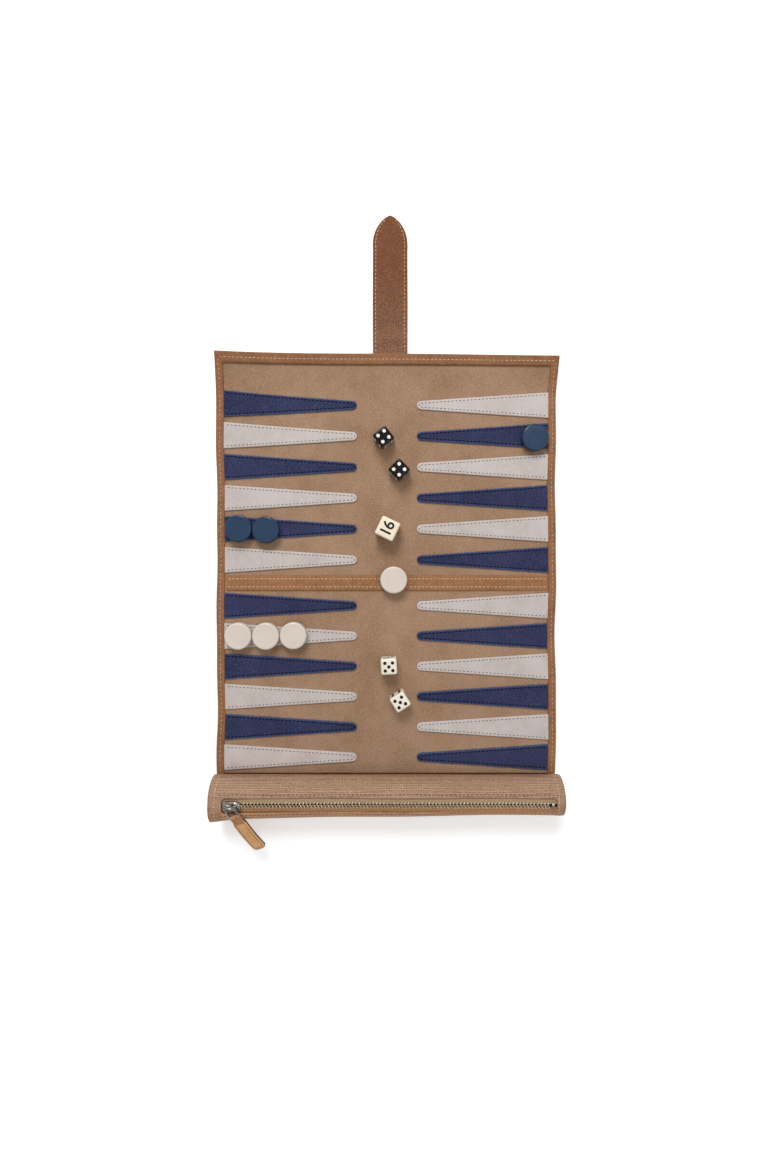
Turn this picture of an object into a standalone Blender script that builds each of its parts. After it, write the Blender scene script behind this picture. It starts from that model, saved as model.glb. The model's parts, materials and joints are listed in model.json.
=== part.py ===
"""Roll-up leather backgammon set, laid out flat: a suede playing mat with sewn-on points, a bar strip and a
closing strap, a zipped tubular pouch along its near edge, and the checkers, dice and doubling cube.

Metres, +Z up. The origin is the middle of the bar on the mat's underside, +Y runs towards the closing strap.
The mat bends between its rows, so it is built as sections that turn about fold lines in its playing face.
"""

import math

import bmesh
import bpy
from mathutils import Matrix, Vector

# Driving dimensions
MAT_WIDTH = 0.276
MAT_THICKNESS = 0.003
UPPER_PITCH = 0.0253  # rows 1 to 6, above the bar
LOWER_PITCH = 0.0248  # rows 7 to 12, below it
BAR_WIDTH = 0.0124
TOP_MARGIN = 0.0285
BINDING_WIDTH = 0.0065
TOP_BINDING_WIDTH = 0.009
RELIEF = 0.0012  # how far the binding stands above the playing face
GAP = 0.0003  # clearance between touching pieces
FOLD_TRIM = 0.00015  # each section stops this far short of its fold lines
BINDING_TRIM = 0.0009  # the binding stops further back, so that neighbours can curl
POINT_LENGTH = 0.107
POINT_BASE = 0.021
POINT_TIP_RADIUS = 0.0035
POINT_THICKNESS = 0.0009
ROWS = 12

STRAP_X = 0.0026  # the strap is sewn on a little right of the middle
STRAP_WIDTH = 0.0285
STRAP_LENGTH = 0.117
STRAP_THICKNESS = 0.0024
STRAP_SHOULDER = 0.028
STRAP_TIP_RADIUS = 0.005
STRAP_TIP_START = 15  # degrees, where the round tip meets the shoulders
STRAP_TAPER = 1.6  # exponent of the shoulders' curve

POUCH_RADIUS = 0.016
POUCH_WALL = 0.0014
POUCH_LENGTH = 0.276
POUCH_AXIS_Y = -0.1687
ZIP_TILT = math.radians(7)  # the zip faces slightly away from the mat
ZIP_WINDOW_WIDTH = 0.012
ZIP_WINDOW_START = -0.1275
ZIP_WINDOW_END = 0.1315
ZIP_WINDOW_CORNER = 0.0028
ZIP_TAPE_WIDTH = 0.019
ZIP_TAPE_THICKNESS = 0.0009
ZIP_END_GAP = 0.0005
ZIP_TEETH_WIDTH = 0.005
ZIP_TEETH_TOP = 0.0152  # from the pouch's axis

SLIDER_START = -0.1268
SLIDER_LENGTH = 0.0138
SLIDER_WIDTH = 0.007
SLIDER_THICKNESS = 0.0016
SLIDER_CORNER = 0.0025
PULL_PIVOT_X = -0.121
PULL_PIVOT_Y = -0.0013  # from the pouch's axis
PULL_PLANE = 0.0186  # height of the pull above the pouch's axis, along the post
PULL_HEADING = math.radians(-62)
PULL_DROOP = math.radians(22)
POST_RADIUS = 0.0013
POST_FOOT = -0.0037  # from the pull's plane
POST_TOP = 0.0019
POST_CAP_RADIUS = 0.0034
POST_CAP_THICKNESS = 0.0008
RING_WIRE = 0.0008
RING_WIDTH = 0.0076
RING_NEAR = -0.0032
RING_FAR = 0.0105
TAB_START = 0.0117
TAB_LENGTH = 0.0365
TAB_WIDTH = 0.010
TAB_THICKNESS = 0.0025
TAB_CORNER = 0.0025

CHECKER_RADIUS = 0.011
CHECKER_HEIGHT = 0.007
CHECKER_EDGE = 0.0015
DIE_SIZE = 0.013
DIE_EDGE = 0.0014
CUBE_SIZE = 0.016
CUBE_EDGE = 0.0015
STORED_BLUE = 12
STORED_WHITE = 11
STORED_PITCH = 0.007
STORED_START = -0.131

# Segments of the round shapes
TUBE_SEGMENTS = 56
TIP_SEGMENTS = 10
STRAP_SEGMENTS = 6
CORNER_SEGMENTS = 4
TAPE_SEGMENTS = 12
TAPE_SIDE_SEGMENTS = 5
POST_SEGMENTS = 24
RING_SEGMENTS = 10
CHECKER_SEGMENTS = 40
CHECKER_EDGE_SEGMENTS = 3
STORED_SEGMENTS = 16
BEVEL_SEGMENTS = 2
BEVEL_ANGLE = 30  # degrees between faces from which an edge is rounded
WELD = 1e-6
SCREW_MERGE = 1e-5

EDGE_X = MAT_WIDTH / 2
BASE_X = EDGE_X - BINDING_WIDTH - GAP  # where the points' bases meet the binding
POUCH_FOLD_Y = -BAR_WIDTH / 2 - 6 * LOWER_PITCH
TOP_EDGE_Y = BAR_WIDTH / 2 + 6 * UPPER_PITCH + TOP_MARGIN
TRIM_Z = MAT_THICKNESS + GAP  # underside of what is sewn on the playing face
TRIM_TOP = TRIM_Z + POINT_THICKNESS

COLOURS = {
    "suede": ((0.38, 0.23, 0.14), 0.95, 0.0),
    "blue_suede": ((0.045, 0.052, 0.150), 0.95, 0.0),
    "white_leather": ((0.73, 0.66, 0.60), 0.7, 0.0),
    "tan_leather": ((0.40, 0.18, 0.08), 0.6, 0.0),
    "pouch_leather": ((0.39, 0.24, 0.16), 0.6, 0.0),
    "metal": ((0.75, 0.74, 0.72), 0.25, 1.0),
    "blue_checker": ((0.034, 0.080, 0.150), 0.25, 0.0),
    "ivory_checker": ((0.80, 0.74, 0.66), 0.25, 0.0),
    "black_die": ((0.010, 0.009, 0.009), 0.2, 0.0),
    "ivory_die": ((0.86, 0.80, 0.68), 0.25, 0.0),
}


def clear_scene():
    for existing in list(bpy.data.objects):
        bpy.data.objects.remove(existing, do_unlink=True)


clear_scene()
parts = bpy.data.collections.new("backgammon_set")
cutters = bpy.data.collections.new("cutters")
bpy.context.scene.collection.children.link(parts)
bpy.context.scene.collection.children.link(cutters)
cutters.hide_render = True
materials = {}


def material(name):
    if name not in materials:
        colour, roughness, metallic = COLOURS[name]
        made = bpy.data.materials.new(name)
        made.use_nodes = True
        shader = made.node_tree.nodes["Principled BSDF"]
        shader.inputs["Base Color"].default_value = (*colour, 1.0)
        shader.inputs["Roughness"].default_value = roughness
        shader.inputs["Metallic"].default_value = metallic
        materials[name] = made
    return materials[name]


def add_part(name, data, look, location=(0, 0, 0), rotation=None, parent=None):
    """A named piece at a world place; its parent only carries it along."""
    made = bpy.data.objects.new(name, data)
    parts.objects.link(made)
    data.materials.append(material(look))
    matrix = Matrix.Translation(location) @ (rotation or Matrix.Identity(3)).to_4x4()
    if parent is not None:
        bpy.context.view_layer.update()
        made.parent = parent
        made.matrix_parent_inverse = parent.matrix_world.inverted()
    made.matrix_basis = matrix
    return made


def add_cutter(name, data, location=(0, 0, 0), rotation=None):
    made = bpy.data.objects.new(name, data)
    cutters.objects.link(made)
    made.hide_render = True
    made.display_type = "WIRE"
    made.matrix_basis = Matrix.Translation(location) @ (rotation or Matrix.Identity(3)).to_4x4()
    return made


def boolean(target, other, operation):
    modifier = target.modifiers.new(other.name, "BOOLEAN")
    modifier.operation = operation
    modifier.object = other


def bevel(target, width):
    modifier = target.modifiers.new("edges", "BEVEL")
    modifier.width = width
    modifier.segments = BEVEL_SEGMENTS
    modifier.limit_method = "ANGLE"
    modifier.angle_limit = math.radians(BEVEL_ANGLE)


def box_mesh(name, low, high):
    low, high = Vector(low), Vector(high)
    built = bmesh.new()
    bmesh.ops.create_cube(built, size=1.0)
    bmesh.ops.scale(built, vec=high - low, verts=built.verts)
    bmesh.ops.translate(built, vec=(low + high) / 2, verts=built.verts)
    mesh = bpy.data.meshes.new(name)
    built.to_mesh(mesh)
    built.free()
    return mesh


def outline_curve(name, outline, thickness):
    """A flat closed outline in the curve's own XY plane, thickened evenly about it."""
    curve = bpy.data.curves.new(name, "CURVE")
    curve.dimensions = "2D"
    curve.fill_mode = "BOTH"
    curve.extrude = thickness / 2
    spline = curve.splines.new("POLY")
    spline.points.add(len(outline) - 1)
    for point, (x, y) in zip(spline.points, outline):
        point.co = (x, y, 0, 1)
    spline.use_cyclic_u = True
    return curve


def welded_mesh(name, curve):
    """The solid of a curve, as one closed mesh that can be cut."""
    guide = bpy.data.objects.new(name + "_guide", curve)
    cutters.objects.link(guide)
    bpy.context.view_layer.update()
    mesh = bpy.data.meshes.new_from_object(guide.evaluated_get(bpy.context.evaluated_depsgraph_get()))
    bpy.data.objects.remove(guide, do_unlink=True)
    built = bmesh.new()
    built.from_mesh(mesh)
    bmesh.ops.remove_doubles(built, verts=built.verts, dist=WELD)
    bmesh.ops.recalc_face_normals(built, faces=built.faces)
    built.to_mesh(mesh)
    built.free()
    mesh.name = name
    return mesh


def arc(centre, radius, start, end, steps):
    """Points on an arc from one angle in degrees to another, both ends included."""
    angles = [math.radians(start + (end - start) * i / steps) for i in range(steps + 1)]
    return [(centre[0] + radius * math.cos(a), centre[1] + radius * math.sin(a)) for a in angles]


def row_centre(row):
    """Rows 1 to 6 lie above the bar and 7 to 12 below it."""
    if row <= 6:
        return BAR_WIDTH / 2 + (6 - row + 0.5) * UPPER_PITCH
    return -BAR_WIDTH / 2 - (row - 7 + 0.5) * LOWER_PITCH


# The mat's sections

def mat_section(name, low_y, high_y, parent, top_band=False):
    """A slab between two fold lines, with the raised binding down its left and right edges. The face under the
    binding is cut out of the slab's top and pulled up. Its origin is on its upper fold line."""
    low = low_y + FOLD_TRIM
    high = high_y - (0 if top_band else FOLD_TRIM)
    origin = Vector((0, high_y, MAT_THICKNESS))
    built = bmesh.new()
    bmesh.ops.create_cube(built, size=1.0)
    bmesh.ops.scale(built, vec=(MAT_WIDTH, high - low, MAT_THICKNESS), verts=built.verts)
    bmesh.ops.translate(built, vec=(0, (low + high) / 2, MAT_THICKNESS / 2), verts=built.verts)
    inner_x = EDGE_X - BINDING_WIDTH
    band_low = low_y + BINDING_TRIM
    band_high = high_y - (TOP_BINDING_WIDTH if top_band else BINDING_TRIM)
    for x in (-inner_x, inner_x):
        cut(built, (x, 0, 0), (1, 0, 0))
    for y in (band_low, band_high):
        cut(built, (0, y, 0), (0, 1, 0))
    raised = []
    for face in built.faces:
        middle = face.calc_center_median()
        beside = abs(middle.x) > inner_x and band_low < middle.y < band_high
        above = top_band and middle.y > band_high
        if face.normal.z > 0.5 and (beside or above):
            raised.append(face)
    lifted = bmesh.ops.extrude_face_region(built, geom=raised)
    lifted_verts = [item for item in lifted["geom"] if isinstance(item, bmesh.types.BMVert)]
    bmesh.ops.translate(built, vec=(0, 0, RELIEF), verts=lifted_verts)
    bmesh.ops.delete(built, geom=raised, context="FACES")
    bmesh.ops.translate(built, vec=-origin, verts=built.verts)
    mesh = bpy.data.meshes.new(name)
    built.to_mesh(mesh)
    built.free()
    return add_part(name, mesh, "suede", origin, parent=parent)


def cut(built, place, normal):
    geometry = list(built.verts) + list(built.edges) + list(built.faces)
    bmesh.ops.bisect_plane(built, geom=geometry, plane_co=place, plane_no=normal)


def row_bounds(row):
    """A row's low and high edge; row 6 also carries the bar."""
    half = (UPPER_PITCH if row <= 6 else LOWER_PITCH) / 2
    bar = BAR_WIDTH if row == 6 else 0
    return row_centre(row) - half - bar, row_centre(row) + half


def mat_top_edge():
    return mat_section("mat_top_edge", TOP_EDGE_Y - TOP_MARGIN, TOP_EDGE_Y, None, top_band=True)


def mat_rows(top_edge):
    sections = {}
    carrier = top_edge
    for row in range(1, ROWS + 1):
        carrier = mat_section(f"mat_row_{row:02d}", *row_bounds(row), carrier)
        sections[row] = carrier
    return sections


# What is sewn on the mat

def point_outline():
    """A tapered tongue from its base on the Y axis to a round tip, tangent to both sides."""
    centre_x = POINT_LENGTH - POINT_TIP_RADIUS
    taper = math.degrees(math.asin((POINT_BASE / 2 - POINT_TIP_RADIUS) / centre_x))
    tip = arc((centre_x, 0), POINT_TIP_RADIUS, -90 + taper, 90 - taper, TIP_SEGMENTS)
    return [(0, -POINT_BASE / 2), *tip, (0, POINT_BASE / 2)]


def points(sections):
    """Blue and white points alternate along each side, and face the other colour across the mat."""
    outline = point_outline()
    for side, sign in (("left", -1), ("right", 1)):
        for row, section in sections.items():
            curve = outline_curve(f"point_{side}_{row:02d}", outline, POINT_THICKNESS)
            blue_left = row % 2 == 1
            blue = blue_left if side == "left" else not blue_left
            turn = Matrix.Rotation(0 if sign < 0 else math.pi, 3, "Z")
            place = (sign * BASE_X, row_centre(row), TRIM_Z + POINT_THICKNESS / 2)
            add_part(curve.name, curve, "blue_suede" if blue else "white_leather", place, turn, section)


def centre_bar_strip(section):
    half_y = BAR_WIDTH / 2 - FOLD_TRIM * 2
    mesh = box_mesh("centre_bar_strip", (-BASE_X, -half_y, 0), (BASE_X, half_y, POINT_THICKNESS))
    add_part("centre_bar_strip", mesh, "tan_leather", (0, 0, TRIM_Z), parent=section)


# The closing strap

def strap(top_edge):
    """Three lengths that bend at fold lines in the strap's upper face; the last one ends in a point."""
    start = TOP_EDGE_Y + GAP
    length = STRAP_LENGTH / 3
    carrier = top_edge
    for index, name in enumerate(("strap_root", "strap_middle", "strap_tip")):
        near = FOLD_TRIM if index else 0
        half = STRAP_WIDTH / 2
        if name == "strap_tip":
            outline = [(-half, near), (half, near), *strap_point(half, length)]
        else:
            far = length - FOLD_TRIM
            outline = [(-half, near), (half, near), (half, far), (-half, far)]
        curve = outline_curve(name, outline, STRAP_THICKNESS)
        mesh = welded_mesh(name, curve)
        mesh.transform(Matrix.Translation((0, 0, -STRAP_THICKNESS / 2)))
        place = (STRAP_X, start + index * length, STRAP_THICKNESS)
        carrier = add_part(name, mesh, "tan_leather", place, parent=carrier)


def strap_point(half, length):
    """The strap's end: shoulders that curve in to a small round tip."""
    shoulder = length - STRAP_SHOULDER
    right = []
    for i in range(STRAP_SEGMENTS + 1):
        t = i / STRAP_SEGMENTS
        x = half + (STRAP_TIP_RADIUS - half) * t**STRAP_TAPER
        right.append((x, shoulder + (STRAP_SHOULDER - STRAP_TIP_RADIUS) * t))
    tip = arc((0, length - STRAP_TIP_RADIUS), STRAP_TIP_RADIUS, STRAP_TIP_START,
              180 - STRAP_TIP_START, STRAP_SEGMENTS)
    return right + tip + [(-x, y) for x, y in reversed(right)]



# The pouch

ALONG_X = Matrix(((0, 0, 1), (1, 0, 0), (0, 1, 0)))  # an outline's XY plane becomes the world's YZ plane
ZIP_TURN = Matrix.Rotation(ZIP_TILT, 3, "X")
POUCH_CENTRE = Vector((0, POUCH_AXIS_Y, POUCH_RADIUS))


def pouch_outline():
    """The tube's round section with the flange that runs along the floor to the mat, about the fold line."""
    centre = (POUCH_AXIS_Y - POUCH_FOLD_Y, POUCH_RADIUS - MAT_THICKNESS)
    above = math.degrees(math.asin((MAT_THICKNESS - POUCH_RADIUS) / POUCH_RADIUS))
    tube = arc(centre, POUCH_RADIUS, 360 + above, -90, TUBE_SEGMENTS)
    flange = [(-FOLD_TRIM, -MAT_THICKNESS), (-FOLD_TRIM, 0)]
    return (flange + tube)[::-1]


def pouch_shell(row_12):
    fold = Vector((0, POUCH_FOLD_Y, MAT_THICKNESS))
    mesh = welded_mesh("pouch_shell", outline_curve("pouch_shell", pouch_outline(), POUCH_LENGTH))
    mesh.transform(ALONG_X.to_4x4())
    shell = add_part("pouch_shell", mesh, "pouch_leather", fold, parent=row_12)
    boolean(shell, pouch_cavity_cutter(), "DIFFERENCE")
    boolean(shell, zip_window_cutter(), "DIFFERENCE")
    return shell


def pouch_cavity_cutter():
    built = bmesh.new()
    inner = POUCH_RADIUS - POUCH_WALL
    depth = POUCH_LENGTH - 2 * POUCH_WALL
    bmesh.ops.create_cone(built, segments=TUBE_SEGMENTS, cap_ends=True, radius1=inner, radius2=inner, depth=depth)
    mesh = bpy.data.meshes.new("pouch_cavity_cutter")
    built.to_mesh(mesh)
    built.free()
    return add_cutter("pouch_cavity_cutter", mesh, POUCH_CENTRE, Matrix.Rotation(math.pi / 2, 3, "Y"))


def rounded_rectangle(low_x, high_x, half_y, radius):
    corners = ((high_x, half_y, 0), (low_x, half_y, 90), (low_x, -half_y, 180), (high_x, -half_y, 270))
    outline = []
    for x, y, start in corners:
        inward_x = x - math.copysign(radius, x - (low_x + high_x) / 2)
        inward_y = y - math.copysign(radius, y)
        outline += arc((inward_x, inward_y), radius, start, start + 90, CORNER_SEGMENTS)
    return outline


def zip_window_cutter():
    """A round-cornered slot through the top of the tube only."""
    outline = rounded_rectangle(ZIP_WINDOW_START, ZIP_WINDOW_END, ZIP_WINDOW_WIDTH / 2, ZIP_WINDOW_CORNER)
    depth = POUCH_RADIUS
    mesh = welded_mesh("zip_window_cutter", outline_curve("zip_window_cutter", outline, depth))
    place = POUCH_CENTRE + ZIP_TURN @ Vector((0, 0, POUCH_RADIUS))
    return add_cutter("zip_window_cutter", mesh, place, ZIP_TURN)


def zip_chain(shell):
    """The tape inside the tube, with the closed teeth standing in the window."""
    outer = POUCH_RADIUS - POUCH_WALL - GAP
    inner = outer - ZIP_TAPE_THICKNESS
    spread = math.degrees(ZIP_TAPE_WIDTH / 2 / outer)
    half = ZIP_TEETH_WIDTH / 2
    beside = math.degrees(math.asin(half / outer))
    outline = arc((0, 0), inner, 90 + spread, 90 - spread, TAPE_SEGMENTS)
    outline += arc((0, 0), outer, 90 - spread, 90 - beside, TAPE_SIDE_SEGMENTS)
    outline += [(half, ZIP_TEETH_TOP), (-half, ZIP_TEETH_TOP)]
    outline += arc((0, 0), outer, 90 + beside, 90 + spread, TAPE_SIDE_SEGMENTS)
    start = ZIP_WINDOW_START + ZIP_END_GAP
    end = ZIP_WINDOW_END - ZIP_END_GAP
    mesh = welded_mesh("zip_chain", outline_curve("zip_chain", outline[::-1], end - start))
    mesh.transform(ALONG_X.to_4x4())
    add_part("zip_chain", mesh, "metal", POUCH_CENTRE + Vector(((start + end) / 2, 0, 0)), ZIP_TURN, shell)


def pull_axes():
    """The pull swings from hanging over the pouch's outer side to lying along the zip, about one leaning post.
    Returns the pull's direction at rest, its width direction and the post's direction."""
    level = math.cos(PULL_DROOP)
    towards = Vector((math.cos(PULL_HEADING) * level, math.sin(PULL_HEADING) * level, -math.sin(PULL_DROOP)))
    post = towards.cross(Vector((1, 0, 0))).normalized()
    return towards, post.cross(towards), post


def turned_disc(built, radius, low, high):
    made = bmesh.ops.create_cone(built, segments=POST_SEGMENTS, cap_ends=True, radius1=radius, radius2=radius,
                                 depth=high - low)
    bmesh.ops.translate(built, vec=(0, 0, (low + high) / 2), verts=made["verts"])


def zip_slider(shell):
    """A plate that runs over the teeth, with a capped post that the pull ring turns on."""
    towards, across, post = pull_axes()
    frame = Matrix((towards, across, post)).transposed()
    pivot = pull_pivot()
    low = ZIP_TEETH_TOP + GAP
    outline = rounded_rectangle(SLIDER_START - PULL_PIVOT_X, SLIDER_START + SLIDER_LENGTH - PULL_PIVOT_X,
                                SLIDER_WIDTH / 2, SLIDER_CORNER)
    mesh = welded_mesh("zip_slider", outline_curve("zip_slider", outline, SLIDER_THICKNESS))
    place = POUCH_CENTRE + Vector((PULL_PIVOT_X, 0, 0)) + ZIP_TURN @ Vector((0, 0, low + SLIDER_THICKNESS / 2))
    slider = add_part("zip_slider", mesh, "metal", place, ZIP_TURN, shell)
    for name, radius, bottom, top in (
        ("post_join", POST_RADIUS, POST_FOOT, POST_TOP - POST_CAP_THICKNESS / 2),
        ("post_cap_join", POST_CAP_RADIUS, POST_TOP - POST_CAP_THICKNESS, POST_TOP),
    ):
        built = bmesh.new()
        turned_disc(built, radius, bottom, top)
        disc = bpy.data.meshes.new(name)
        built.to_mesh(disc)
        built.free()
        boolean(slider, add_cutter(name, disc, pivot, frame), "UNION")
    return slider


def pull_pivot():
    """Where the post crosses the pull's plane, which clears the tube at every turn of the pull."""
    post = pull_axes()[2]
    height = (PULL_PLANE - PULL_PIVOT_Y * post.y) / post.z
    return POUCH_CENTRE + Vector((PULL_PIVOT_X, PULL_PIVOT_Y, height))


def zip_pull_ring(slider):
    """A long wire loop round the slider's post."""
    towards, across, post = pull_axes()
    half = RING_WIDTH / 2
    loop = arc((RING_FAR - half, 0), half, -90, 90, RING_SEGMENTS)
    loop += arc((RING_NEAR + half, 0), half, 90, 270, RING_SEGMENTS)
    curve = bpy.data.curves.new("zip_pull_ring", "CURVE")
    curve.dimensions = "3D"
    curve.bevel_depth = RING_WIRE
    curve.bevel_resolution = 2
    spline = curve.splines.new("POLY")
    spline.points.add(len(loop) - 1)
    for point, (x, y) in zip(spline.points, loop):
        point.co = (x, y, 0, 1)
    spline.use_cyclic_u = True
    frame = Matrix((towards, across, post)).transposed()
    return add_part("zip_pull_ring", curve, "metal", pull_pivot(), frame, slider)


def zip_pull_tab(ring):
    """The leather tab beyond the ring; it can lift about the ring's far end."""
    towards, across, post = pull_axes()
    frame = Matrix((towards, across, post)).transposed()
    hinge = RING_FAR - RING_WIRE
    outline = rounded_rectangle(TAB_START - hinge, TAB_START + TAB_LENGTH - hinge, TAB_WIDTH / 2, TAB_CORNER)
    curve = outline_curve("zip_pull_tab", outline, TAB_THICKNESS)
    add_part("zip_pull_tab", curve, "tan_leather", pull_pivot() + towards * hinge, frame, ring)


def pouch(row_12):
    shell = pouch_shell(row_12)
    zip_chain(shell)
    slider = zip_slider(shell)
    ring = zip_pull_ring(slider)
    zip_pull_tab(ring)
    return shell


# The loose pieces

def profile_mesh(name, profile):
    """The edges of a turned solid's profile, from the top of its axis to the bottom, for screw to turn."""
    built = bmesh.new()
    verts = [built.verts.new((x, 0, z)) for x, z in profile]
    for first, second in zip(verts, verts[1:]):
        built.edges.new((first, second))
    mesh = bpy.data.meshes.new(name)
    built.to_mesh(mesh)
    built.free()
    return mesh


def screw(target, segments):
    modifier = target.modifiers.new("turn", "SCREW")
    modifier.steps = segments
    modifier.render_steps = segments
    modifier.use_merge_vertices = True
    modifier.merge_threshold = SCREW_MERGE
    modifier.use_smooth_shade = True


def checker_profile():
    r, h, e = CHECKER_RADIUS, CHECKER_HEIGHT, CHECKER_EDGE
    upper = arc((r - e, h - e), e, 90, 0, CHECKER_EDGE_SEGMENTS)
    lower = arc((r - e, e), e, 0, -90, CHECKER_EDGE_SEGMENTS)
    return [(0, h), *upper, *lower, (0, 0)]


def checker(name, look, x, y, z, parent):
    made = add_part(name, profile_mesh(name, checker_profile()), look, (x, y, z), parent=parent)
    screw(made, CHECKER_SEGMENTS)


def cube(name, look, size, edge, x, y, z, turn, parent):
    mesh = box_mesh(name, (-size / 2, -size / 2, 0), (size / 2, size / 2, size))
    rotation = Matrix.Rotation(math.radians(turn), 3, "Z")
    made = add_part(name, mesh, look, (x, y, z), rotation, parent)
    bevel(made, edge)


# Where the pieces lie in play: name, X, offset from the row's centre, row
BLUE_CHECKERS = (("checker_blue_1", -0.1203, 0.0001, 5), ("checker_blue_2", -0.0980, -0.0009, 5),
                 ("checker_blue_3", 0.1200, -0.0020, 2))
WHITE_CHECKERS = (("checker_white_1", -0.1203, 0.0006, 8), ("checker_white_2", -0.0980, 0.0006, 8),
                  ("checker_white_3", -0.0757, 0.0010, 8))
BAR_CHECKER = ("checker_white_4", 0.0055, 0.0026)
# name, look, X, offset from the row's centre, row, turn in degrees
DICE = (("die_black_1", "black_die", -0.0027, -0.0025, 2, 38), ("die_black_2", "black_die", 0.0098, -0.0035, 3, 45),
        ("die_white_1", "ivory_die", 0.0016, 0.0019, 9, 3), ("die_white_2", "ivory_die", 0.0107, -0.0016, 10, 32))
DOUBLING_CUBE = (0.0006, -0.0002, 5, -26)


def loose_pieces(sections):
    on_points = TRIM_TOP + GAP
    for name, x, offset, row in BLUE_CHECKERS:
        checker(name, "blue_checker", x, row_centre(row) + offset, on_points, sections[row])
    for name, x, offset, row in WHITE_CHECKERS:
        checker(name, "ivory_checker", x, row_centre(row) + offset, on_points, sections[row])
    name, x, y = BAR_CHECKER
    checker(name, "ivory_checker", x, y, on_points, sections[6])
    for name, look, x, offset, row, turn in DICE:
        cube(name, look, DIE_SIZE, DIE_EDGE, x, row_centre(row) + offset, TRIM_Z, turn, sections[row])
    x, offset, row, turn = DOUBLING_CUBE
    cube("doubling_cube", "ivory_die", CUBE_SIZE, CUBE_EDGE, x, row_centre(row) + offset, TRIM_Z, turn, sections[row])


def stored_stack(name, look, count, start, shell):
    """Checkers standing on edge in the pouch, face to face: one turned body with a groove between neighbours."""
    neck = CHECKER_RADIUS - CHECKER_EDGE
    profile = [(0, count * STORED_PITCH)]
    for index in range(count, 0, -1):
        top = index * STORED_PITCH
        bottom = top - STORED_PITCH
        profile += [(neck, top), (CHECKER_RADIUS, top - CHECKER_EDGE), (CHECKER_RADIUS, bottom + CHECKER_EDGE)]
    profile += [(neck, 0), (0, 0)]
    centre_z = POUCH_WALL + GAP + CHECKER_RADIUS
    rotation = Matrix.Rotation(math.pi / 2, 3, "Y")
    made = add_part(name, profile_mesh(name, profile), look, (start, POUCH_AXIS_Y, centre_z), rotation, shell)
    screw(made, STORED_SEGMENTS)


def stored_checkers(shell):
    stored_stack("stored_checkers_blue", "blue_checker", STORED_BLUE, STORED_START, shell)
    after = STORED_START + STORED_BLUE * STORED_PITCH + GAP
    stored_stack("stored_checkers_white", "ivory_checker", STORED_WHITE, after, shell)


top_edge = mat_top_edge()
sections = mat_rows(top_edge)
points(sections)
centre_bar_strip(sections[6])
strap(top_edge)
pouch_body = pouch(sections[ROWS])
stored_checkers(pouch_body)
loose_pieces(sections)
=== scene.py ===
"""Looks of the roll-up backgammon set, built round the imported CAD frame."""

import json
import math
import random

import bmesh
import bpy
import numpy as np
from mathutils import Matrix, Vector, noise

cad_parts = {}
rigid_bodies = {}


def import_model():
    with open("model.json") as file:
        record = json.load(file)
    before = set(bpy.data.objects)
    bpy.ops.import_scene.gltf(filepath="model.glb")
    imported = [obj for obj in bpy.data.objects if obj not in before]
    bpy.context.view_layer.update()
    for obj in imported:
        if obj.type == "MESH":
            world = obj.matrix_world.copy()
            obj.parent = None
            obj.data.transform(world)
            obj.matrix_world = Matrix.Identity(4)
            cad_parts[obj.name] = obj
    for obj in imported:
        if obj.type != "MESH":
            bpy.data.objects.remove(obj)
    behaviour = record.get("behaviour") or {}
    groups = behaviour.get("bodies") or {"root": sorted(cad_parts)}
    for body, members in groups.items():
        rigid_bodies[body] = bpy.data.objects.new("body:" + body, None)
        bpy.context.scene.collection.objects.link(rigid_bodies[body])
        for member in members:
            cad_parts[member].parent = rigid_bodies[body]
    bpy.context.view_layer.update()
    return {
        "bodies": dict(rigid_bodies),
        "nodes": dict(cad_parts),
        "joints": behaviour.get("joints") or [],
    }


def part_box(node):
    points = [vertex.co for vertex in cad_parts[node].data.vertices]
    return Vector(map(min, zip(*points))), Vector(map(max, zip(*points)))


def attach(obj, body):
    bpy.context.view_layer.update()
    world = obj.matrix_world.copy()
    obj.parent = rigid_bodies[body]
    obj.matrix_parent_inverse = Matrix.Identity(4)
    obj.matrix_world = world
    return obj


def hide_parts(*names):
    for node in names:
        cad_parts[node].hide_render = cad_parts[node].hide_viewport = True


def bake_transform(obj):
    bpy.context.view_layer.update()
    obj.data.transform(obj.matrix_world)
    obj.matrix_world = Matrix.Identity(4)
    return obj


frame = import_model()

MM = 0.001
UP = Vector((0, 0, 1))
SIDES = ((-1, "left"), (1, "right"))
JOINTS = {joint["name"]: joint for joint in frame["joints"]}
FOLD_Y = {joint["child"]: joint["pos_m"][1] for joint in frame["joints"] if joint["name"].startswith("fold_")}
ROWS = [f"mat_row_{row:02d}" for row in range(1, 13)]
MAT_HALF, MAT_END_Y, RELIEF_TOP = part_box("mat_top_edge")[1]
FACE_Z = JOINTS["fold_01"]["pos_m"][2]
LINING_Z = 1.5 * MM
BAR_LOW, BAR_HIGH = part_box("centre_bar_strip")
BINDING_IN = BAR_HIGH.x + 0.3 * MM
BINDING_MIDDLE = (BINDING_IN + MAT_HALF) / 2
TOP_BINDING = 9 * MM
STITCH_PITCH = 3.3 * MM
BEND = 2.2 * MM  # half the width of the zone in which the mat bends at a fold


# Mesh helpers

def placed(name, data):
    made = bpy.data.objects.new(name, data)
    bpy.context.scene.collection.objects.link(made)
    return made


def show(name, mesh, look):
    """A new piece from a mesh, with its rest place kept for the materials to read."""
    made = placed(name, mesh)
    mesh.materials.clear()
    for one in look if isinstance(look, list) else [look]:
        mesh.materials.append(one)
    places = np.empty(len(mesh.vertices) * 3, np.float32)
    mesh.vertices.foreach_get("co", places)
    mesh.attributes.new("rest", "FLOAT_VECTOR", "POINT").data.foreach_set("vector", places)
    return made


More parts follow.
